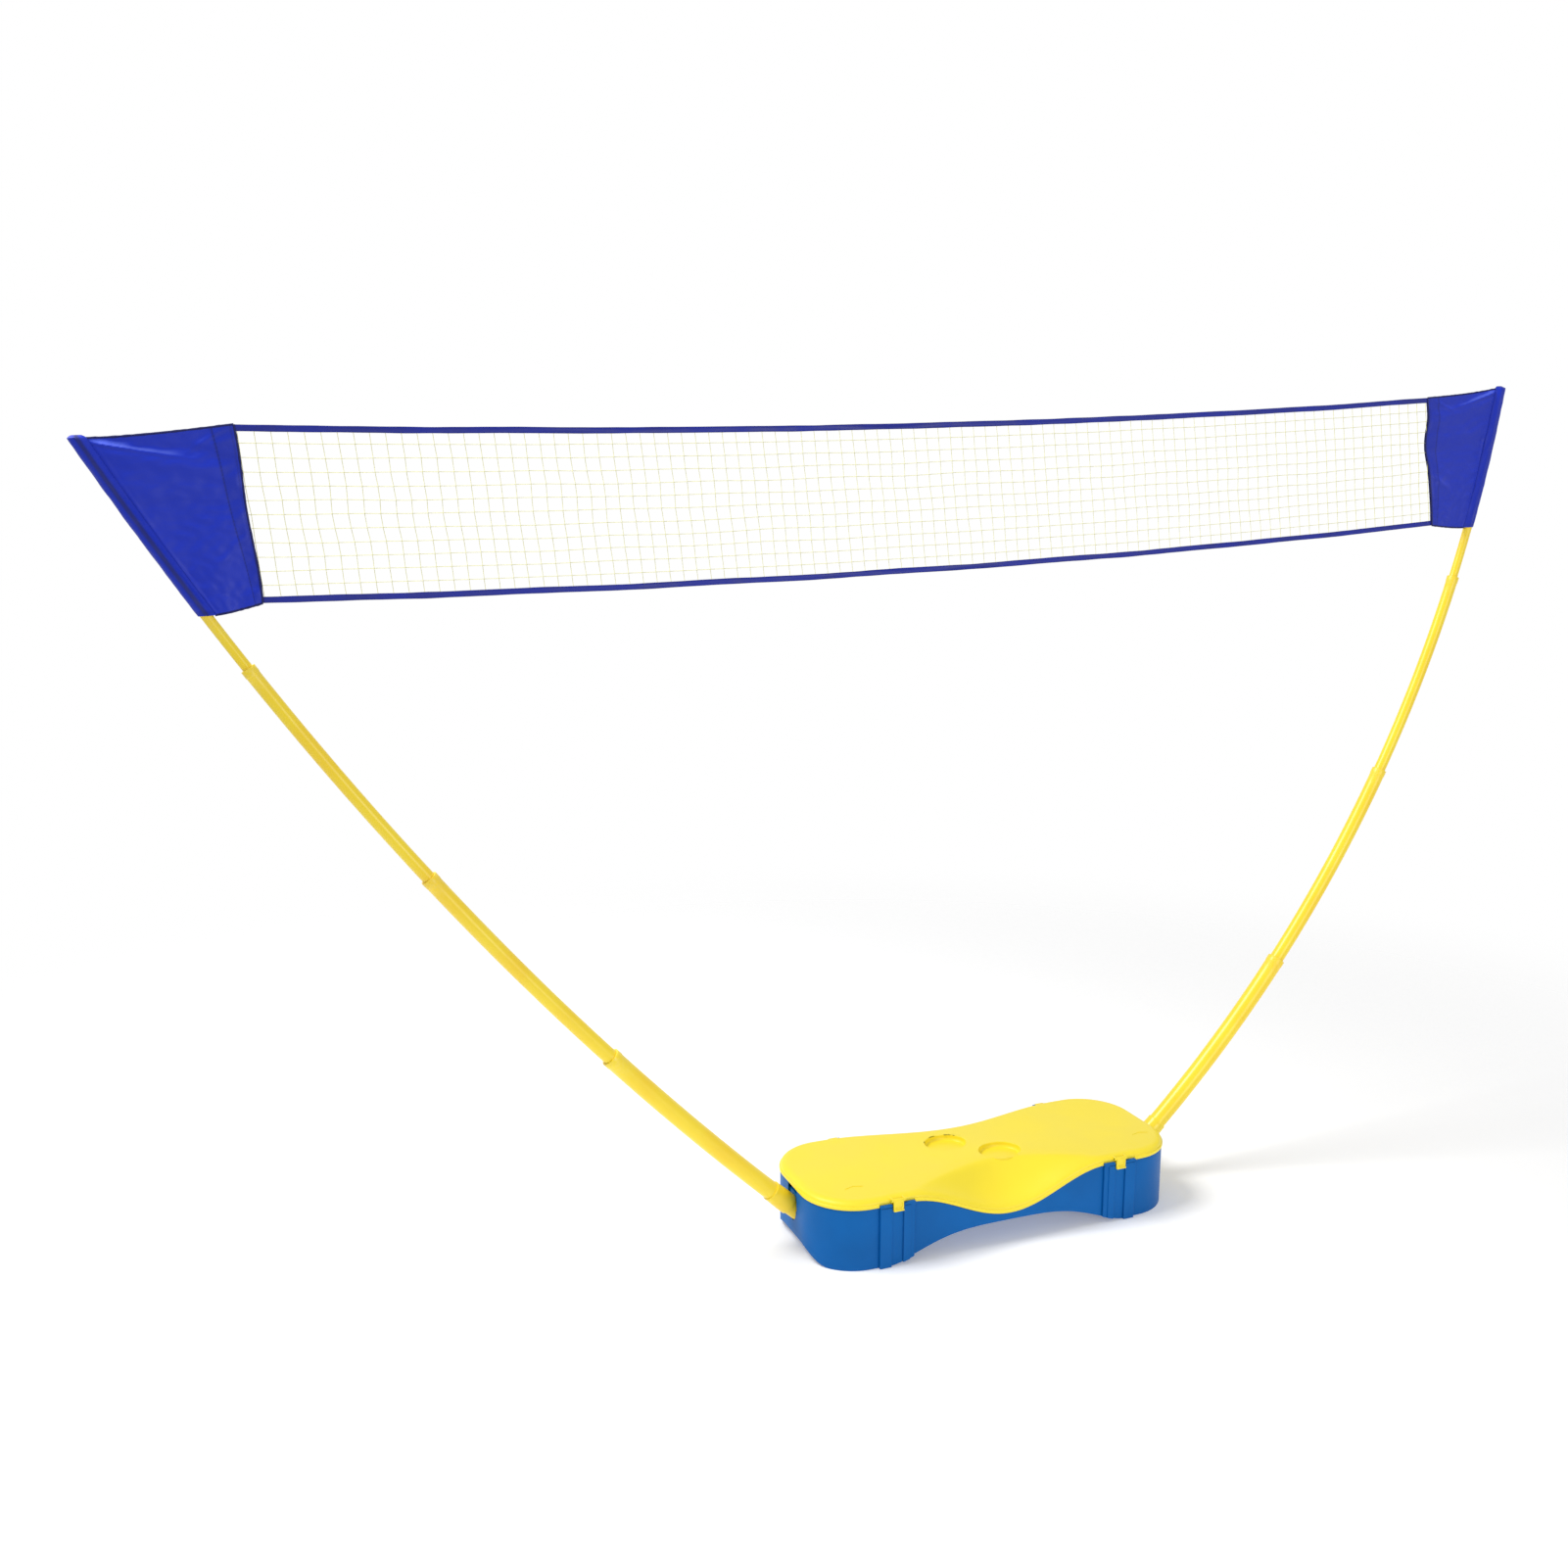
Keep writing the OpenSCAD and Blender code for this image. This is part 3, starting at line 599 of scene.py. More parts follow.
# ---------------------------------------------------------------- the form of the case
class CaseForm:
    """The curves that the lid and the tub share, in case coordinates: X along it, the front towards -Y."""

    corner_steps = 18
    run_steps = 72
    straight_end = 0.020  # what stays straight between the waist and a corner
    front_strip = 0.030  # depth of the strip at the front that the scoop cuts into
    crest_margin = 0.006
    crest_rounding = 0.07

    def __init__(self):
        self.sizes = sizes = bpy.context.scene.net_case
        self.half_depth = sizes.depth / 2
        self.joint = LID_TOP - sizes.lid_height
        self.run = HALF_LENGTH - sizes.corner - self.straight_end
        self.spine = (HALF_LENGTH - self.half_depth) * 0.97

    def drawn_in(self, x):
        return self.sizes.waist * math.cos(math.pi / 2 * x / self.run) ** 2 if abs(x) < self.run else 0.0

    def outline(self):
        """The case seen from above, counterclockwise from its right end."""
        corner, n = self.sizes.corner, self.corner_steps
        cx, cy = HALF_LENGTH - corner, self.half_depth - corner

        def quarter(sx, sy, start):
            angles = [math.radians(start + 90 * i / n) for i in range(n + 1)]
            return [(sx * cx + corner * math.cos(a), sy * cy + corner * math.sin(a)) for a in angles]

        xs = [self.run * (1 - 2 * i / self.run_steps) for i in range(self.run_steps + 1)]
        back = [(x, self.half_depth - self.drawn_in(x)) for x in xs]
        front = [(-x, -self.half_depth) for x in xs]
        left_end = quarter(-1, 1, 90) + quarter(-1, -1, 180)
        return quarter(1, 1, 0) + back + left_end + front + quarter(1, -1, 270)

    def inset(self, points, distance):
        """The outline moved inwards, square to itself."""
        moved = []
        for i, (x, y) in enumerate(points):
            ahead, behind = points[(i + 1) % len(points)], points[i - 1]
            along = Vector((ahead[0] - behind[0], ahead[1] - behind[1])).normalized()
            moved.append((x - along.y * distance, y + along.x * distance))
        return moved

    def toward_spine(self, points, share):
        """The outline drawn in on the line along the lid's middle."""
        return [(x + (max(min(x, self.spine), -self.spine) - x) * share, y * (1 - share)) for x, y in points]

    def rim_drop(self, x):
        width = self.sizes.scoop_width
        return self.sizes.scoop_drop * math.cos(math.pi * x / width) ** 2 if abs(x) < width / 2 else 0.0

    def crest_at(self, x):
        run_out = min(abs(2 * x / self.sizes.scoop_width), 1) ** 1.5
        return -self.sizes.crest - (self.half_depth - self.sizes.crest - self.crest_margin) * run_out

    def scoop(self, x, y):
        """How far the lid lies below its flat top; the crest of the scoop is rounded."""
        past = (self.crest_at(x) - y) / (self.half_depth + self.crest_at(x))
        if past < -6 * self.crest_rounding:
            return 0.0
        eased = (past + math.hypot(past, self.crest_rounding)) / 2
        return self.rim_drop(x) * (1 - (1 - min(eased, 1.0)) ** 2)

    def ring(self, points, height):
        return [(CASE_X + x, y, self.joint + height - self.scoop(x, y)) for x, y in points]

    def foot_line(self, x, y):
        """Lower edge of the tub wall: an arch that swings down to the ground in an S on both sides."""
        s = self.sizes

        def arch(place, width, height):
            return height * (1 + math.cos(math.pi * min(abs(2 * place / width), 1.0) ** 1.8)) / 2

        return max(arch(x, s.arch_width, s.arch_height), arch(y, s.end_arch_width, s.end_arch_height))

    def rim_line(self, x, y):
        """Upper edge of the tub wall, which gives way to the scoop."""
        return self.joint - (self.rim_drop(x) if y < self.front_strip - self.half_depth else 0.0)


class NET_OT_lid(bpy.types.Operator):
    """Model the moulded lid with its scoop, cups, hinge knuckles and latch lugs"""

    bl_idname = "net_set.lid"
    bl_label = "Lid"

    top_rings = 22
    flat_share = 0.66
    seam = 0.0009  # gap between the lid's lower edge and the joint
    edge = 0.0007  # rounding of the lower edge

    def execute(self, context):
        form = CaseForm()
        sizes = form.sizes
        lid = loft("lid_shell", self.rings(form, sizes))
        self.cut_cups(lid, sizes)
        self.cut_flange(lid, form, sizes)
        smooth(lid, 30)
        modify(lid, "WEIGHTED_NORMAL", keep_sharp=True)
        finish(lid, "lid", "lid_plastic", "lid")
        for piece in (self.fittings(form, sizes), self.marks()):
            finish(piece, "lid", "lid_plastic")
        return {"FINISHED"}

    def rings(self, form, s):
        """The shell's rings, out over the top and the shoulder, down the flange and back up inside."""
        base = form.outline()
        rise = s.lid_height - s.flange - 0.001

        def shoulder(angle, skin):
            inset = s.flange_out + skin + (s.shoulder - skin) * (1 - math.cos(angle))
            height = s.lid_height - skin - (rise - skin) * (1 - math.sin(angle))
            return form.ring(form.inset(base, inset), height)

        def top(share, skin):
            rim = form.inset(base, s.flange_out + s.shoulder)
            return form.ring(form.toward_spine(rim, share), s.lid_height - skin)

        shares = [self.flat_share * (i + 1) / self.top_rings for i in range(self.top_rings)]
        bead, edge = s.flange_out, self.edge
        flange = [(bead + 0.0002, s.flange + edge), (bead, s.flange)]
        for a in quarter_turn(5):
            flange.append((bead * (1 - math.sin(a)), s.flange - bead * 0.9 * (1 - math.cos(a))))
        flange += [(0.0, self.seam + 2 * edge), (0.3 * edge, self.seam + 0.5 * edge), (edge, self.seam)]
        flange += [(bead + s.wall, self.seam)]
        outside = [top(share, 0) for share in reversed(shares)]
        outside += [shoulder(a, 0) for a in reversed(quarter_turn(8))]
        inside = [shoulder(a, s.wall) for a in quarter_turn(5)] + [top(share, s.wall) for share in shares]
        return outside + [form.ring(form.inset(base, inset), height) for inset, height in flange] + inside

    def cut_cups(self, lid, s):
        edge = 0.004
        boss = [(-s.wall, edge), (-s.wall + edge, 0), (s.cup_depth - 0.002, 0)]
        hollow = [(0, 0.006), (0.0006, 0.0032), (0.003, 0.001), (0.006, 0), (s.cup_depth + 0.01, 0)]
        for way in (LEFT, RIGHT):
            at = (s.cup_shift + way * s.cup_spread / 2, -way * s.cup_stagger / 2)
            combine(lid, self.cup("boss", at, s, s.wall, boss), "UNION")
            combine(lid, self.cup("hollow", at, s, 0, hollow), "DIFFERENCE")

            def on_lip(point, edge):
                across, up = (point.x - CASE_X - at[0]) / s.cup_length, (point.y - at[1]) / s.cup_width
                reach = math.hypot(across, up) * 2
                a, b = (lid.data.vertices[i].co for i in edge.vertices)
                level = abs(a.z - b.z) < 0.0006 and (a - b).length > 0.0001
                return abs(reach - 1) < 0.012 and point.z > LID_TOP - s.cup_depth * 0.4 and level

            pick(lid, "EDGE", on_lip)
            bpy.ops.mesh.bevel(offset=0.0016, segments=4, profile=0.5, affect="EDGES")
            leave()

    def cup(self, name, at, s, skin, levels):
        """An oval plug about a point, a level for each height above the cup's floor and inset there."""
        rings = []
        for height, inset in levels:
            a, b = s.cup_length / 2 + skin - inset, s.cup_width / 2 + skin - inset
            z = LID_TOP - s.cup_depth + height
            rings.append([(CASE_X + at[0] + a * math.cos(t), at[1] + b * math.sin(t), z) for t in turns(96)])
        return loft(name, rings)

    def cut_flange(self, lid, form, s):
        """The flange is left out where the tub's pads stand."""
        clear = 0.001
        for side in (LEFT, RIGHT):
            x, half = side * LATCH_OFFSET, s.pad_width / 2 + clear
            low = (x - half, -form.half_depth - clear, form.joint - clear)
            high = (x + half, s.flange_out - form.half_depth, form.joint + s.flange + 0.00005)
            combine(lid, block("notch", low, high), "DIFFERENCE")

    def fittings(self, form, s):
        """Hinge knuckles at the back and latch lugs at the front."""
        made = []
        half, knuckle_radius, ear_reach = 0.010, 0.005, 0.0163
        lug, lug_radius, lug_depth = 0.004, 0.0034, 0.0075
        wall = form.half_depth - form.drawn_in(LATCH_OFFSET - ear_reach)
        for side in (LEFT, RIGHT):
            x = side * LATCH_OFFSET
            knuckle = bar("knuckle", x - half, x + half, HINGE_AXIS, knuckle_radius)
            low = (x - half, wall - s.flange_out, form.joint + 0.001)
            combine(knuckle, block("web", low, (x + half, HINGE_AXIS.y, form.joint + s.flange)), "UNION")
            drill(knuckle, x - half, x + half, HINGE_AXIS)
            made.append(soften(knuckle, 0.0004))
            for end in (LEFT, RIGHT):
                middle = x + end * ((LATCH_HIGH.x - LATCH_LOW.x) / 2 + PLAY + lug / 2)
                x0, x1 = middle - lug / 2, middle + lug / 2
                piece = bar("lug", x0, x1, LATCH_AXIS, lug_radius)
                low = (x0, LATCH_AXIS.y, LATCH_AXIS.z - lug_radius)
                high = (x1, s.flange_out + lug_depth - form.half_depth, LATCH_AXIS.z + lug_radius)
                combine(piece, block("lug_web", low, high), "UNION")
                made.append(soften(piece, 0.0004))
        return smooth(join("lid_fittings", made))

    def marks(self):
        """Two small raised arrowheads that point at the poles' sockets."""
        made = []
        half, rise, line = 0.020, 0.007, 0.0022
        outline = [(-half, 0), (0, rise), (half, 0), (half, line), (0, rise + line), (-half, line)]
        levels = ((-0.0004, 1.0), (0.0005, 1.0), (0.0009, 0.97))
        for x, y in ((-0.330, -0.091), (0.372, -0.082)):
            rings = []
            for height, shrink in levels:
                z = LID_TOP + height
                rings.append([(CASE_X + x + a * shrink, y + b * shrink, z) for a, b in outline])
            made.append(loft("arrow", rings))
        return soften(join("lid_arrows", made), 0.0002)


class NET_OT_tub(bpy.types.Operator):
    """Model the tub with its arches, latch pads, pole notches and hinge ears"""

    bl_idname = "net_set.tub"
    bl_label = "Tub"

    wall_rings = 14
    edge = 0.0007  # rounding of the wall's edges
    pad_out = 0.005  # how far a pad stands out from the case

    def execute(self, context):
        form = CaseForm()
        sizes = form.sizes
        wall = self.wall(form, sizes)
        for side in (LEFT, RIGHT):
            self.cut_notch(wall, form, sizes, side)
        finish(smooth(wall, 30), "base", "tub_plastic", "tub")
        for piece in (self.floor(form, sizes), self.pads(form, sizes), self.ears(form, sizes)):
            finish(piece, "base", "tub_plastic")
        return {"FINISHED"}

    def wall(self, form, s):
        """A closed wall between the arched lower edge and the rim."""
        base, e = form.outline(), self.edge

        def level(inset, share, lift=0.0):
            points = []
            for (x, y), (px, py) in zip(form.inset(base, inset), base):
                low, high = form.foot_line(px, py), form.rim_line(px, py)
                points.append((CASE_X + x, y, low + (high - low) * share + lift))
            return points

        shares = [i / self.wall_rings for i in range(1, self.wall_rings)]
        outer, inner = s.tub_inset, s.tub_inset + s.wall
        rings = [level(outer + e, 0), level(outer + 0.3 * e, 0, 0.3 * e), level(outer, 0, e)]
        rings += [level(outer, share) for share in shares]
        rings += [level(outer, 1, -e), level(outer + 0.3 * e, 1, -0.3 * e), level(outer + e, 1)]
        rings += [level(inner - e, 1), level(inner, 1, -e)]
        rings += [level(inner, share) for share in reversed(shares)]
        rings += [level(inner, 0, e), level(inner - e, 0)]
        return loft("tub_wall", rings, closed=True)

    def floor(self, form, s):
        """The floor, with shallow ribs under it both ways."""
        base = form.inset(form.outline(), s.tub_inset + s.wall - 0.0005)
        pieces = [loft("floor", [[(CASE_X + x, y, z) for x, y in base] for z in (s.floor, s.floor + s.wall)])]
        half, margin, long_reach, foot = 0.0012, 0.030, 0.36, s.floor - 0.008
        for x in (-0.24, -0.12, 0.0, 0.12, 0.24):
            reach = form.half_depth - form.drawn_in(x) - margin
            pieces.append(block("rib", (x - half, -reach, foot), (x + half, reach, s.floor)))
        for y in (-0.075, 0.055):
            pieces.append(block("rib", (-long_reach, y - half, foot), (long_reach, y + half, s.floor)))
        return smooth(join("tub_floor", pieces))

    def cut_notch(self, wall, form, s, side):
        """The notch that lets a pole out through the end wall, open to the top."""
        poles = bpy.context.scene.net_poles
        cuff_wall, gap = 0.003, 0.0013
        sine, cosine = math.sin(poles.slope), math.cos(poles.slope)
        middle = HALF_LENGTH - s.tub_inset - s.wall / 2
        radius, half = poles.lower_width / 2 + gap, poles.lower_width / 2 + cuff_wall + gap
        axis_z = poles.foot_height - (poles.foot - middle) * math.tan(poles.slope)
        x0, x1 = sorted((side * (middle - 2 * s.wall), side * (middle + 2 * s.wall)))
        high = (x1, half, form.joint + 0.01)
        slot = block("slot", (x0, -half, axis_z), high)
        rings = []
        for run in (-0.10, 0.04):
            at = Vector((side * (poles.foot + run * cosine), 0, poles.foot_height + run * sine))
            up = Vector((-side * sine, 0, cosine)) * radius
            points = [at + up * math.cos(t) + Vector((0, radius * math.sin(t), 0)) for t in turns(48)]
            rings.append([(CASE_X + p.x, p.y, p.z) for p in points])
        bore = loft("bore", rings)
        combine(bore, block("limit", (x0, -half, s.floor + s.wall + 0.0005), high), "INTERSECT")
        combine(bore, slot, "UNION")
        combine(wall, bore, "DIFFERENCE")

    def pads(self, form, s):
        """Two raised pads, each with a channel for its latch and a narrow step beside it."""
        made, e, step_back = [], 0.0009, 0.0018
        front, back = -form.half_depth - self.pad_out, s.tub_inset - form.half_depth + 0.0008
        channel, half = s.channel_width / 2, s.pad_width / 2
        deep, step = -form.half_depth - CHANNEL_FLOOR, front + step_back
        profile = [
            (-half, back), (-half, front + e), (-half + e, front), (-channel - e, front),
            (-channel, front + e), (-channel, deep - 0.3 * e), (-channel + 0.3 * e, deep),
            (channel - 0.3 * e, deep), (channel, deep - 0.3 * e), (channel, front + e), (channel + e, front),
            (half - 0.011, front), (half - 0.0105, step), (half - e, step), (half, step + e), (half, back),
        ]
        for side in (LEFT, RIGHT):
            x = side * LATCH_OFFSET
            # Mirrored from side to side, so that the step faces the scoop.
            points = [(-side * a, b) for a, b in divided(profile, 0.006, closed=True)]
            rings = []
            for k in range(self.wall_rings + 1):
                share = k / self.wall_rings
                rings.append([self.pad_point(form, x + a, b, share) for a, b in points])
            made += [loft("pad", rings), *self.pad_lip(form, s, x, front)]
        return smooth(join("tub_pads", made), 30)

    def pad_point(self, form, x, y, share):
        low, high = form.foot_line(x, -form.half_depth), form.joint - 0.0002
        return (CASE_X + x, y, low + (high - low) * share)

    def pad_lip(self, form, s, x, front):
        """What stands up in front of the lid beside the channel, and the ledge that the latch snaps on."""
        made, channel, half = [], s.channel_width / 2, s.pad_width / 2
        lip_back = s.flange_out - form.half_depth - PLAY
        for x0, x1 in ((-half, -channel), (channel, half)):
            lip = block("lip", (x + x0, front, form.joint - 0.002), (x + x1, lip_back, form.joint + 0.005))
            made.append(soften(lip, 0.0008, 3))
        z, back = form.joint - 0.004, -form.half_depth - CHANNEL_FLOOR
        ledge = block("ledge", (x - channel, back - LEDGE, z), (x + channel, back + 0.0005, z + 0.002))
        return [*made, soften(ledge, 0.0005)]

    def ears(self, form, s):
        """Hinge ears on the back of the tub."""
        made = []
        knuckle, ear, radius, drop, bore = 0.020, 0.006, 0.0036, 0.016, 0.00205
        reach = knuckle / 2 + PLAY + ear
        inner = form.half_depth - form.drawn_in(LATCH_OFFSET - reach) - s.tub_inset - s.wall / 2
        for side in (LEFT, RIGHT):
            for end in (LEFT, RIGHT):
                middle = side * LATCH_OFFSET + end * (knuckle / 2 + PLAY + ear / 2)
                x0, x1 = middle - ear / 2, middle + ear / 2
                piece = bar("ear", x0, x1, HINGE_AXIS, radius)
                low = (x0, HINGE_AXIS.y - radius, form.joint - drop)
                combine(piece, block("post", low, (x1, HINGE_AXIS.y + radius, HINGE_AXIS.z)), "UNION")
                low, high = (x0, inner, form.joint - drop), (x1, HINGE_AXIS.y + radius, form.joint)
                combine(piece, block("foot", low, high), "UNION")
                drill(piece, x0, x1, HINGE_AXIS, bore, 0.001)
                made.append(soften(piece, 0.0005))
        return smooth(join("tub_ears", made))


class NET_OT_latches(bpy.types.Operator):
    """Model the two snap latches"""

    bl_idname = "net_set.latches"
    bl_label = "Latches"

    def execute(self, context):
        for side in SIDES:
            self.latch(f"latch_{side}")
        return {"FINISHED"}

    def latch(self, name):
        """A plate with a framed recess, hung on a barrel, with a finger lip along its foot."""
        low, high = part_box(name)
        x0, x1 = low.x - CASE_X, high.x - CASE_X
        thick, frame_out, foot = 0.003, 0.0015, low.z + 0.003
        back = -(bpy.context.scene.net_case.depth / 2) - CHANNEL_FLOOR - LEDGE - PLAY
        plate = block("plate", (x0, back - thick - frame_out, foot), (x1, back, LATCH_AXIS.z))
        pick(plate, "FACE", lambda middle, face: face.normal.y < -0.9)
        bpy.ops.mesh.inset(thickness=0.0032, depth=0)
        bpy.ops.mesh.inset(thickness=0.0004, depth=-0.0014)
        leave()
        lip = block("finger_lip", (x0, low.y, low.z), (x1, back, foot + 0.0002))
        pick(lip, "EDGE", lambda middle, edge: middle.y < low.y + 0.0001 and middle.z < low.z + 0.0001)
        bpy.ops.mesh.bevel(offset=0.0014, segments=4, affect="EDGES")
        leave()
        combine(plate, lip, "UNION")
        combine(plate, bar("barrel", x0, x1, LATCH_AXIS, 0.0032), "UNION")
        drill(plate, x0, x1, LATCH_AXIS)
        plate.name = plate.data.name = f"{name}_clip"
        finish(smooth(soften(plate, 0.0004)), name, "lid_plastic", name)


# ---------------------------------------------------------------- the form of the poles
class PoleForm:
    """The bow of one pole. Lengths run along it from its foot."""

    def __init__(self, side):
        self.side, self.sizes = side, bpy.context.scene.net_poles
        self.radius = self.sizes.left_bow if side == LEFT else self.sizes.right_bow

    def slope(self, s):
        return self.sizes.slope + s / self.radius

    def at(self, s, inwards=0.0, y=0.0):
        """The point at length s, moved off the centre line towards the net."""
        p, a = self.sizes, self.slope(s)
        x = p.foot + self.radius * (math.sin(a) - math.sin(p.slope)) - inwards * math.sin(a)
        z = p.foot_height + self.radius * (math.cos(p.slope) - math.cos(a)) + inwards * math.cos(a)
        return Vector((CASE_X + self.side * x, y, z))

    def turned(self, name, profile, sides=48, closed=True):
        """A round piece on the bow, from (length, radius) pairs."""
        rings = [[self.at(s, r * math.cos(a), r * math.sin(a)) for a in turns(sides)] for s, r in profile]
        return loft(name, rings, closed=closed)


class NET_OT_poles(bpy.types.Operator):
    """Model the four draws, the end cap and the cuff of each pole"""

    bl_idname = "net_set.poles"
    bl_label = "Poles"

    lip = 0.014
    bead = 0.0007
    flare = 0.0006
    fit = 0.0003  # gap round a draw in the mouth below it
    edge = 0.0006
    step = 0.022  # length of the facets that a tube bows by
    rod_bore = 0.0065
    cap_fit = 0.00642  # radius of the cap's plug

    def execute(self, context):
        p = context.scene.net_poles
        draws = (
            ("lower", -p.tube_foot, p.lower_end, p.lower_width, p.middle_width),
            ("middle", p.lower_end - p.overlap, p.middle_end, p.middle_width, p.upper_width),
            ("upper", p.middle_end - p.overlap, p.upper_end, p.upper_width, p.rod_width),
        )
        for name, side in SIDES.items():
            form, rod_body = PoleForm(side), f"{name}_rod"
            for part, *sizes in draws:
                tube = self.tube(form, f"{name}_{part}_tube_skin", *sizes)
                body = "base" if part == "lower" else f"{name}_{part}"
                finish(tube, body, "pole_plastic", f"{name}_{part}_tube")
            ends = (
                (self.rod, "top_rod_skin", rod_body, f"{name}_top_rod"),
                (self.cap, "rod_cap", rod_body, f"{name}_tip_cap"),
                (self.cuff, "foot_cuff", "base", f"cuff_{name}"),
            )
            for make, piece, body, node in ends:
                finish(make(form, f"{name}_{piece}", p), body, "pole_plastic", node)
        return {"FINISHED"}

    def stop_flare(self, start, r):
        """The wider foot of a draw, which stops it in the mouth of the one below."""
        e, wide = self.edge, r + self.flare
        end = start + bpy.context.scene.net_poles.overlap - self.lip - 0.001
        return [(start, wide - e), (start + e, wide), (end - 0.001, wide), (end, r)]

    def tube(self, form, name, start, end, outer, inner):
        """A tube with a beaded mouth, a wider bore below it and a stop flare at its foot."""
        r, e, brim = outer / 2, self.edge, end - self.lip
        mouth, bore, bead = inner / 2 + self.fit, inner / 2 + form.sizes.bore_gap, r + self.bead
        foot = self.stop_flare(start, r) if start > 0 else [(start + e, r)]
        outside = [
            (brim - 0.0015, r), (brim, r + self.bead * 0.7), (brim + 0.001, bead),
            (end - e, bead), (end - 0.3 * e, bead - 0.3 * e), (end, bead - e),
        ]
        inside = [(end, mouth + 0.3 * e), (end - e, mouth), (brim, mouth), (brim - e, bore), (start, bore)]
        tube = form.turned(name, divided(foot + outside + inside, self.step))
        return self.rubbed(tube, form, end)

    def rod(self, form, name, p):
        """The top rod, with a stop flare at its foot."""
        start, end, e, r, bore = p.upper_end - p.overlap, p.rod_end, self.edge, p.rod_width / 2, self.rod_bore
        profile = [*self.stop_flare(start, r), (end - e, r), (end, r - e), (end, bore), (start, bore)]
        rod = form.turned(name, divided(profile, self.step), sides=40)
        return self.rubbed(rod, form, p.upper_end + 0.10)

    def rubbed(self, obj, form, where, reach=0.06):
        """Marks the lengths near the mouth that the slide scuffs."""
        end = form.at(where)
        mark(obj, "rub", [max(0.0, 1 - (vertex.co - end).length / reach) for vertex in obj.data.vertices])
        return smooth(obj, 40)

    def unrubbed(self, obj):
        mark(obj, "rub", [0.0] * len(obj.data.vertices))
        return smooth(obj, 40)

    def cap(self, form, name, p):
        """The plug that closes the rod's end."""
        r, e, end = p.rod_width / 2, 0.001, p.rod_end
        profile = [
            (end - 0.010, 0.0055), (end - 0.009, self.cap_fit), (end, self.cap_fit), (end, r - 0.2 * e),
            (end + 0.3 * e, r), (end + 0.003, r), (end + 0.0045, r - 0.001), (end + 0.005, r - 0.003),
        ]
        return self.unrubbed(form.turned(name, profile, sides=40, closed=False))

    def cuff(self, form, name, p):
        """The flared collar that a pole stands in where it leaves the case."""
        bore, foot, mouth = p.lower_width / 2 + 0.0001, -0.030, 0.024
        walls = (
            (foot, 0.0026), (-0.0295, 0.0029), (-0.010, 0.0029), (0.006, 0.0024), (0.016, 0.0019),
            (0.0195, 0.0021), (0.0215, 0.0024), (0.0232, 0.0022), (mouth, 0.0014), (mouth, 0.0), (foot, 0.0),
        )
        profile = [(s, bore + wall) for s, wall in walls]
        return self.unrubbed(form.turned(name, divided(profile, 0.006), sides=64))


# ---------------------------------------------------------------- the form of the net
class NetForm:
    """The flat shape of the strung net, between the two poles."""

    cap = 0.012  # how far a sleeve runs past the rod's end
    tail = 0.003  # how far its seam stands off the rod
    short_foot = 0.011  # what the right sleeve lacks at its foot
    # Numbers for a gather of the netting along a tilted line, about a point off its middle, so that it would
    # meet the panels; the script doesn't gather it.
    gather_keep, gather_tilt, gather_shift = 0.676, 0.0483, 0.030
    # How far each inner corner of the end panels stands off the line between the poles, along X and Z.
    stance = {
        "upper": {LEFT: (-0.0074, 0.024), RIGHT: (0.024, -0.002)},
        "lower": {LEFT: (-0.0192, 0.0136), RIGHT: (0.0016, 0.020)},
    }

    def __init__(self):
        self.sizes = bpy.context.scene.net_cloth
        self.poles = {side: PoleForm(side) for side in (LEFT, RIGHT)}
        p = self.poles[LEFT].sizes
        self.top_s, self.rod_radius = p.rod_end, p.rod_width / 2
        foot = p.rod_end - self.sizes.sleeve
        self.bottom_s = {LEFT: foot, RIGHT: foot + self.short_foot}
        self.top_line, self.upper = self.edge(p.rod_end, self.sizes.panel_top, "upper")
        self.bottom_line, self.lower = self.edge(foot, self.sizes.panel_bottom, "lower")
        self.net_length = (self.lower[RIGHT] - self.lower[LEFT]).length
        self.height = (self.upper[LEFT] - self.lower[LEFT]).length

    def edge(self, s, width, name):
        """The direction of the net's edge from pole to pole, and the end panels' inner corners near it."""
        ends = {side: pole.at(s) for side, pole in self.poles.items()}
        line = (ends[RIGHT] - ends[LEFT]).normalized()
        offs = self.stance[name].items()
        return line, {side: ends[side] - side * width * line + Vector((x, 0, z)) for side, (x, z) in offs}

    def at(self, u, v, y=0.0):
        """A point of the netting: u from left to right, v from the bottom to the top."""
        low = self.lower[LEFT].lerp(self.lower[RIGHT], u)
        high = self.upper[LEFT].lerp(self.upper[RIGHT], u)
        point = low.lerp(high, v) - Vector((0, 0, 4 * self.sizes.sag * u * (1 - u)))
        return point + Vector((0, y, 0))

    def lean(self, side, s, v):
        """Length along the pole per distance inwards that keeps a cut parallel to the net's edges."""
        line = -side * self.bottom_line.lerp(self.top_line, v)
        slope = self.poles[side].slope(s)
        along, inwards = (side * math.cos(slope), math.sin(slope)), (-side * math.sin(slope), math.cos(slope))
        return (line.x * along[0] + line.z * along[1]) / (line.x * inwards[0] + line.z * inwards[1])

    def on_sleeve(self, side, v, inwards, y=0.0, past=0.0):
        """A point of a sleeve, whose ends are cut parallel to the net's edges."""
        s = self.bottom_s[side] + (self.top_s + self.cap - self.bottom_s[side]) * v
        return self.poles[side].at(s + past + inwards * self.lean(side, s, v), inwards, y)

    def panel(self, side, u, v):
        """A point of an end panel: u from the sleeve to the net, v from the bottom to the top."""
        seam = self.on_sleeve(side, v, self.rod_radius + self.tail)
        return seam.lerp(self.lower[side].lerp(self.upper[side], v), u)


def ripple(x, y, scale, seed):
    """Smooth noise from -1 to 1."""
    return noise.noise(Vector((x / scale, y / scale, seed)))


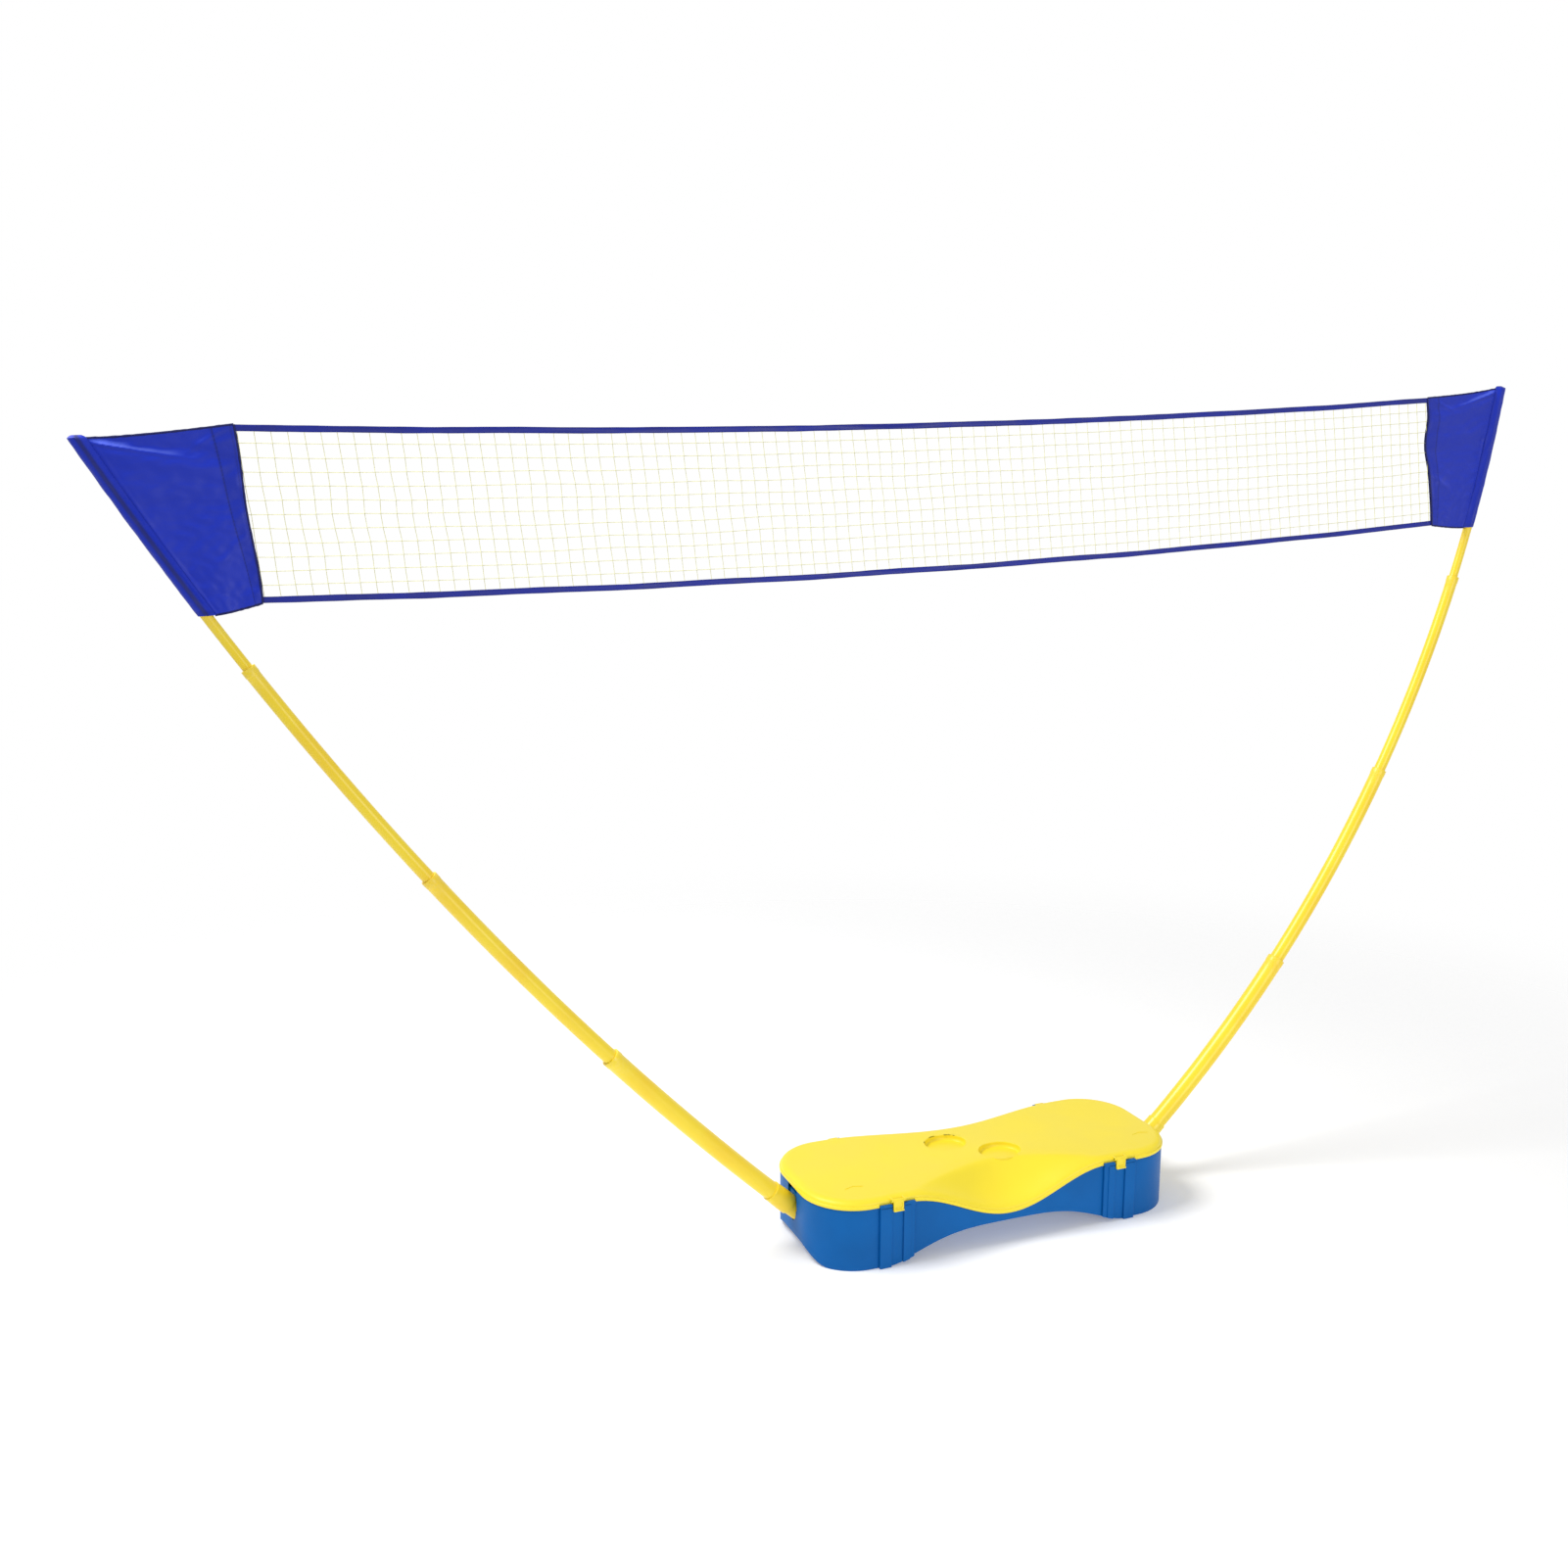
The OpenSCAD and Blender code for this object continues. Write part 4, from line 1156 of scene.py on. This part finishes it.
def ridge(distance, width):
    """1 on a line and 0 some widths away from it."""
    return math.exp(-((distance / width) ** 2))


def tangent(line, i):
    """The direction of a line of points at one of them."""
    return (line[min(i + 1, len(line) - 1)] - line[max(i - 1, 0)]).normalized()


class NET_OT_cloth(bpy.types.Operator):
    """Model the satin end panels with their sleeves and hems"""

    bl_idname = "net_set.cloth"
    bl_label = "End panels"

    across, up = 76, 120
    thick = 0.0006
    sleeve_thick = 0.0005
    strip_front, strip_back = 0.0062, 0.0067  # where the strip behind a panel stands
    seam_allowance = 0.016
    round_rod = 0.070  # width of a sleeve's cloth, flat

    def execute(self, context):
        net = NetForm()
        sizes = net.sizes
        for name, side in SIDES.items():
            body = f"{name}_rod"
            sleeve = self.sleeve(net, name, side)
            finish(sleeve, body, "panel_satin", f"{name}_sleeve")
            panel = self.panel(net, name, side)
            finish(panel, body, "panel_satin", f"{name}_panel")
            hems = self.hems(net, name, side)
            finish(hems, body, "hem_satin")
            flat = ((sizes.panel_top + sizes.panel_bottom) / 2 - self.seam_allowance, sizes.sleeve)
            flat = (self.round_rod, sizes.sleeve + self.seam_allowance)
        return {"FINISHED"}

    def folds(self, net, side, u, v):
        """How far the stretched cloth stands off its plane, towards the front."""
        w = net.sizes.panel_top
        x, z, low = u * w, v * net.sizes.sleeve, 1 - v
        # A taut fold runs from the pole's tip towards the net, with a hollow above and slacker folds below.
        streak = low - (0.022 + (0.21 if side == LEFT else 0.13) * u)
        fold = 0.0034 * ridge(streak, 0.013) * ridge(u, 0.44)
        fold += 0.0042 * ridge(streak - 0.05, 0.055) * (1 - 0.5 * u)
        fold -= 0.0030 * ridge(streak + 0.05, 0.035) * (1 - u)
        fold += 0.0012 * ridge(low - 0.30 - 0.05 * u, 0.045)
        fold -= 0.0008 * ridge(low - 0.37 - 0.04 * u, 0.05)
        # Short folds at the upper and the lower corner by the net.
        fold += 0.0016 * ridge(low - 0.06 + 0.35 * (u - 0.8), 0.018) * ridge(u - 0.78, 0.14)
        fold += 0.0022 * ridge(v - 0.10 - 0.30 * u, 0.03) * ridge(u - 0.7, 0.3)
        # Broad and fine unevenness.
        fold += 0.0040 * ripple(x * 0.5 + z * 0.3, z - x * 0.5, 0.090, 3.0 + side)
        fold += 0.0011 * ripple(x, z * 2.2, 0.030, 9.0 + side)
        # The turned edge beside the sleeve's seam.
        fold += 0.0016 * ridge(x - 0.0065, 0.0035)
        held = min(1.0, u / 0.08) * min(1.0, (1 - u) / 0.05)
        pucker = 0.0011 * ridge((1 - u) * w, 0.030) * math.sin(z / 0.0105 + 2.5 * ripple(x, z, 0.04, 5.0))
        return (fold + pucker * (0.3 + abs(v - 0.5) * 1.6)) * (0.25 + 0.75 * held)

    def fold_light(self, net, side, u, v):
        """Painted light for the satin's base colour: low, a painted shade, where a fold faces down, up to 1,
        a painted highlight, on a crest that faces the sky; the right panel is painted a little darker.
        """
        step = 0.004
        above, below = self.folds(net, side, u, v + step), self.folds(net, side, u, v - step)
        rise = (above - below) / (2 * step * net.sizes.sleeve)
        level = 0.5 if side == LEFT else 0.42
        return min(1.0, max(0.1, level - (0.35 if rise > 0 else 0.85) * rise))

    def edge_dip(self, u, v):
        """The top and bottom edges hang a little slack between the sleeve and the net."""
        slack = 0.0028 * v**6 + 0.0016 * (1 - v) ** 6
        return -slack * math.sin(math.pi * u**0.8)

    def drift(self, side, v):
        """The inner edge isn't quite straight: how far it wanders along the net."""
        if side == LEFT:
            return 0.0016 * math.sin(v * 9.0)
        return 0.0105 * ridge(v - 0.62, 0.16) - 0.0025 * ridge(v - 0.85, 0.08) - 0.002 * ridge(v - 0.12, 0.15)

    def on_panel(self, net, side, u, v):
        """A point of the finished cloth."""
        across = -side * self.drift(side, v) * u**3
        return net.panel(side, u, v) + Vector((across, -self.folds(net, side, u, v), self.edge_dip(u, v)))

    def panel(self, net, name, side):
        """One sheet from the sleeve's seam to the hem along the netting."""
        panel, flat = grid(f"{name}_panel_cloth", self.across, self.up)
        put(panel, [self.on_panel(net, side, u, v) for u, v in flat])
        width = (net.sizes.panel_top + net.sizes.panel_bottom) / 2
        seams = []
        for u, v in flat:
            inner = (1 - u) * width
            stitch = 0.8 * ridge(inner - net.sizes.hem, 0.0014) + 0.5 * ridge(inner - 0.004, 0.001)
            stitch *= math.sin(v * net.sizes.sleeve / 0.0011) * 0.25 + 0.75
            doubled = 0.16 if inner < net.sizes.hem else 0.0
            seams.append(min(1.0, stitch + doubled + 0.35 * ridge(u * width, 0.0026)))
        mark(panel, "seam", seams)
        # Painted highlight and painted shade, which the material puts into the cloth's colour.
        mark(panel, "light", [self.fold_light(net, side, u, v) for u, v in flat])
        modify(panel, "SOLIDIFY", thickness=self.thick, offset=0.0)
        return smooth(panel, 60)

    def sleeve(self, net, name, side):
        """A pocket over the rod: a drop-shaped tube whose top is folded flat into an ear."""
        sides, levels = 40, 60
        ear = ((0.0012, 0.75, 0.92), (0.0028, 0.5, 0.80), (0.0042, 0.3, 0.66), (0.0052, 0.16, 0.5))
        stations = [(i / levels, 0.0, 1.0, 1.0) for i in range(levels + 1)] + [(1.0, *e) for e in ear]
        rings, seams, light = [], [], []
        # Painted light: level is the sleeve's painted brightness, lower on the right, and the second number
        # is the strength of a painted shade stripe down the front of the rod, on its side towards the net,
        # strong on the left.
        level, painted_shade = (0.38, 0.55) if side == LEFT else (0.26, 0.05)
        for v, past, thick, wide in stations:
            ring = []
            for a in turns(sides):
                inner = max(0.0, math.cos(a))  # 1 on the side of the net
                radius = net.rod_radius + 0.0015 + 0.0007 * ripple(v * 4, math.cos(a), 0.35, 2.0 + side)
                tail = inner**6 * (net.tail + 0.0008)
                inwards = (radius * math.cos(a) + tail) * wide + net.rod_radius * 0.5 * (1 - wide)
                y = radius * math.sin(a) * (1 - 0.5 * inner**2) * thick + 0.25 * past
                wander = 0.0005 * ripple(v * 12, a, 0.5, 7.0)
                ring.append(net.on_sleeve(side, v, inwards + wander, y, past))
                foot_hem = 0.7 * ridge((v - 0.02) * net.sizes.sleeve, 0.0012)
                long_seam = 0.25 * ridge(math.sin(a / 2), 0.14)
                # The painted shade stripe also goes into the seam numbers, which darken the colour; lit adds
                # painted highlights on either side of it and takes the stripe off.
                seams.append(max(foot_hem, long_seam) + painted_shade * ridge(a - 4.85, 0.26))
                lit = level + 0.08 * ridge(a - 4.2, 0.3) - painted_shade * ridge(a - 4.85, 0.3)
                light.append(lit + 0.14 * ridge(a - 5.6, 0.5))
            rings.append(ring)
        sleeve = loft(f"{name}_sleeve_cloth", rings, capped=False)
        mark(sleeve, "seam", seams)
        mark(sleeve, "light", light)
        last = len(sleeve.data.vertices) - sides
        pick(sleeve, "VERT", lambda point, vertex: vertex.index >= last)
        bpy.ops.mesh.edge_face_add()
        leave()
        modify(sleeve, "SOLIDIFY", thickness=self.sleeve_thick, offset=1.0)
        return smooth(sleeve, 60)

    def facing(self, net, side):
        """The strip on the back of a panel that the netting's end is sewn under."""
        steps, levels, short = 10, 72, 0.006
        rings = []
        for k in range(levels + 1):
            v = short + (1 - 2 * short) * k / levels
            start = 1 - (net.sizes.hem + 0.002) / (net.panel(side, 1, v) - net.panel(side, 0, v)).length
            line = []
            for i in range(steps + 1):
                u = start + (1 - start) * i / steps
                tuck = 0.0016 * (ridge(u - start, 0.012) + ridge(1 - u, 0.008))
                pucker = 0.0005 * ripple(i * 0.7, k * 0.9, 1.0, 13.0)
                off = Vector((-side * self.drift(side, v) * u**3, pucker - tuck, 0))
                line.append(net.panel(side, u, v) + off)
            ring = [point + self.strip_front * ALONG_Y for point in line]
            rings.append(ring + [point + self.strip_back * ALONG_Y for point in reversed(line)])
        return loft("facing", rings)

    def hems(self, net, name, side):
        """Rolled edges along the top, the bottom and the net side of a panel, and the strip on its back."""
        deep, strip_seam, roll_seam = 0.0013, 0.1, 0.9
        runs = (
            [(i / 60, 1.0) for i in range(61)],
            [(1.0, 1 - i / 60) for i in range(61)],
            [(1 - i / 36, 0.0) for i in range(37)],
        )
        facing = self.facing(net, side)
        strip = len(facing.data.vertices)
        made = [facing]
        for places in runs:
            line = [self.on_panel(net, side, u, v) for u, v in places]
            rings = []
            for i, point in enumerate(line):
                across = tangent(line, i).cross(ALONG_Y).normalized()
                wide = 0.0019 + 0.0006 * ripple(i * 0.4, 0.0, 1.0, 4.0)
                off = [across * wide * math.cos(a) + Vector((0, deep * math.sin(a), 0)) for a in turns(10)]
                rings.append([point + step for step in off])
            made.append(loft("roll", rings))
        hems = join(f"{name}_panel_hems", made)
        mark(hems, "seam", [strip_seam if v.index < strip else roll_seam for v in hems.data.vertices])
        return smooth(hems, 70)


def drops(piece, net):
    """The netting would gather along its length as the poles are pushed in, and turn a little with the
    panels; this works out the tilted line for that and gives the piece its own mesh, but moves nothing.
    """
    left, right = ((net.upper[side] + net.lower[side]) / 2 for side in (LEFT, RIGHT))
    line = (right - left).normalized()
    axis = line + net.gather_tilt * line.cross(ALONG_Y)
    anchor = (left + right) / 2 + net.gather_shift * line
    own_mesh(piece)


class NET_OT_netting(bpy.types.Operator):
    """Model the cord netting and its two hem tapes"""

    bl_idname = "net_set.netting"
    bl_label = "Netting"

    panels = ["left_panel_cloth", "right_panel_cloth"]

    def execute(self, context):
        net = NetForm()
        drops(finish(self.netting(net), "net", "net_cord", "net_mesh"), net)
        for name, v in (("top_tape", 1.0), ("bottom_tape", 0.0)):
            tape, tape_length = self.tape(net, f"{name}_band", v)
            finish(tape, "net", "hem_satin", name)
            drops(tape, net)
        return {"FINISHED"}

    def netting(self, net):
        """A grid of cords; the meshes are slightly uneven, as knotted netting is."""
        s = net.sizes
        netting, flat = grid("netting", s.columns, s.rows)
        reach, edge = s.hem * 0.8 / net.net_length, 0.6 * s.tape / net.height
        points = []
        for u, v in flat:
            loose = math.sin(math.pi * v)
            shift = 0.0035 * ripple(u * 40, v * 9, 1.7, 1.0) * loose
            lift = 0.0030 * ripple(u * 34, v * 8, 1.9, 2.0) * loose
            end = max(0.0, 1 - min(u, 1 - u) / 0.03)  # the netting is sewn behind the end panels
            depth = 0.004 * ripple(u * 9, v * 2, 1.0, 3.0) * loose * (1 - end) + 0.0012 + 0.0036 * end
            point = net.at(-reach + u * (1 + 2 * reach), edge + v * (1 - 2 * edge), depth)
            points.append(point + Vector((shift, 0, lift)))
        put(netting, points)
        modify(netting, "WIREFRAME", thickness=s.cord, use_boundary=True, use_even_offset=False, offset=0.0)
        return smooth(netting, 80)

    def tape(self, net, name, v):
        """A narrow folded band that turns a little as it runs along the net's edge, and its length."""
        s, steps, sides, thick = net.sizes, 240, 14, 0.0012
        reach = 0.012 / net.net_length
        middle = v + (0.5 if v < 0.5 else -0.5) * s.tape / net.height
        rings, seams, line = [], [], []
        for i in range(steps + 1):
            u = -reach + (1 + 2 * reach) * i / steps
            end = max(0.0, 1 - min(u + reach, 1 + reach - u) / 0.02)
            line.append(net.at(u, middle) + Vector((0, 0.0026 * end, 0.0012 * ripple(u * 14, v, 1.0, 6.0))))
        for i, point in enumerate(line):
            u, along = i / steps, tangent(line, i)
            upwards = ALONG_Y.cross(along).normalized() * -1
            turn = 0.55 * ripple(u * 16, v * 5, 1.0, 8.0) * math.sin(math.pi * u)
            wide = upwards * math.cos(turn) + Vector((0, math.sin(turn), 0))
            deep = wide.cross(along)
            half = s.tape / 2 * (1 + 0.10 * ripple(u * 50, v, 1.0, 11.0))
            across, out = wide * half, deep * thick
            rings.append([point + across * math.cos(a) + out * math.sin(a) for a in turns(sides)])
            seams += [ridge(1 - abs(math.cos(a)), 0.10) * 0.9 for a in turns(sides)]
        tape = loft(name, rings)
        mark(tape, "seam", seams)
        return smooth(tape, 70), sum((b - a).length for a, b in zip(line, line[1:]))


class NET_OT_hardware(bpy.types.Operator):
    """Finish the sockets, screws and pins that come straight from the frame"""

    bl_idname = "net_set.hardware"
    bl_label = "Hardware"

    looks = {
        "socket_left": "tub_plastic",
        "socket_right": "tub_plastic",
        "socket_screws": "plated_steel",
        "hinge_pins": "plated_steel",
        "latch_pins": "plated_steel",
    }

    def execute(self, context):
        for name, look in self.looks.items():
            node = frame["nodes"][name]
            for slot in node.material_slots:
                slot.material = look_of(look)
            node.modifiers.new("weld", "WELD").merge_threshold = 0.00002
            round_off = node.modifiers.new("round_off", "BEVEL")
            round_off.width = 0.0003
            round_off.segments = 2
            round_off.limit_method = "ANGLE"
            round_off.angle_limit = math.radians(40)
        return {"FINISHED"}


class NET_OT_studio(bpy.types.Operator):
    """Set up the camera, the lamps and the pale floor"""

    bl_idname = "net_set.studio"
    bl_label = "Studio"

    lamp_aim = (CASE_X * 0.3, 0, 0.8)
    lamp_size = 2.4

    def execute(self, context):
        scene, studio = context.scene, context.scene.net_studio
        self.camera(scene, studio)
        self.lamp("key_lamp", (-3.0, 0.6, 4.8), studio.key_power)
        self.lamp("fill_lamp", (1.4, -4.6, 1.4), studio.fill_power)
        self.sky(scene, studio)
        self.floor()
        scene.view_settings.view_transform = "Standard"
        return {"FINISHED"}

    def stand(self, name, data, where, aim):
        """Puts a camera or a lamp in its place, turned to what it aims at."""
        made = bpy.data.objects.new(name, data)
        bpy.context.scene.collection.objects.link(made)
        made.location = where
        made.rotation_euler = (Vector(aim) - Vector(where)).to_track_quat("-Z", "Y").to_euler()
        return made

    def camera(self, scene, studio):
        data = bpy.data.cameras.new("studio_camera")
        data.lens = studio.lens
        data.sensor_fit = "HORIZONTAL"
        data.sensor_width = 36
        data.clip_end = 60
        scene.camera = self.stand("studio_camera", data, studio.place, studio.aim)

    def lamp(self, name, where, energy):
        data = bpy.data.lights.new(name, "AREA")
        data.shape = "DISK"
        data.size = self.lamp_size
        data.energy = energy
        self.stand(name, data, where, self.lamp_aim)

    def sky(self, scene, studio):
        """Even light on the object; the camera, mirrors and glass see plain white."""
        world = bpy.data.worlds.new("studio_sky")
        scene.world = world
        world.use_nodes = True
        tree = world.node_tree
        background = next(n for n in tree.nodes if n.type == "BACKGROUND")
        background.inputs["Color"].default_value = (1, 1, 1, 1)
        rays = tree.nodes.new("ShaderNodeLightPath")
        seen = rays.outputs["Is Camera Ray"]
        for name in ("Is Glossy Ray", "Is Transmission Ray"):
            either = tree.nodes.new("ShaderNodeMath")
            either.operation = "MAXIMUM"
            tree.links.new(seen, either.inputs[0])
            tree.links.new(rays.outputs[name], either.inputs[1])
            seen = either.outputs[0]
        strength = tree.nodes.new("ShaderNodeMapRange")
        tree.links.new(seen, strength.inputs["Value"])
        strength.inputs["To Min"].default_value = studio.sky
        strength.inputs["To Max"].default_value = 1.0
        tree.links.new(strength.outputs[0], background.inputs["Strength"])

    def floor(self):
        """A wide round floor that fades into the white far from the object."""
        choose()
        bpy.ops.mesh.primitive_circle_add(vertices=96, radius=9, fill_type="NGON", location=(0, 0, -0.0005))
        floor = added("studio_floor")
        bpy.ops.object.transform_apply(location=True)
        look = Look("studio_floor", (0.94, 0.94, 0.94, 1), 0.9, Specular_Ior_Level=0.1, Emission_Strength=0.2)
        away = look.node("ShaderNodeVectorMath", {0: look.place}, operation="LENGTH").outputs["Value"]
        look.set("Alpha", Term(look, away).ramp(1.3, 3.4, 1.0, 0.0))
        floor.data.materials.append(look.material)


class NET_PT_sidebar(bpy.types.Panel):
    """Lists what the net set is built from"""

    bl_idname = "NET_PT_sidebar"
    bl_label = "Net set"
    bl_space_type = "VIEW_3D"
    bl_region_type = "UI"
    bl_category = "Net set"

    def draw(self, context):
        for operator in OPERATORS:
            self.layout.operator(operator.bl_idname)
        for key, group in SETTINGS.items():
            box = self.layout.box()
            box.label(text=group.__doc__)
            for name in group.__annotations__:
                box.prop(getattr(context.scene, key), name)


OPERATORS = (
    NET_OT_studio,
    NET_OT_lid,
    NET_OT_tub,
    NET_OT_latches,
    NET_OT_poles,
    NET_OT_cloth,
    NET_OT_netting,
    NET_OT_hardware,
)
CLASSES = (*SETTINGS.values(), *OPERATORS, NET_PT_sidebar)


def register():
    for cls in CLASSES:
        bpy.utils.register_class(cls)
    for key, group in SETTINGS.items():
        setattr(bpy.types.Scene, key, bpy.props.PointerProperty(type=group))


def unregister():
    for key in SETTINGS:
        delattr(bpy.types.Scene, key)
    for cls in reversed(CLASSES):
        bpy.utils.unregister_class(cls)


def main():
    register()
    for operator in OPERATORS:
        group, name = operator.bl_idname.split(".")
        getattr(getattr(bpy.ops, group), name)()


if __name__ == "__main__":
    main()
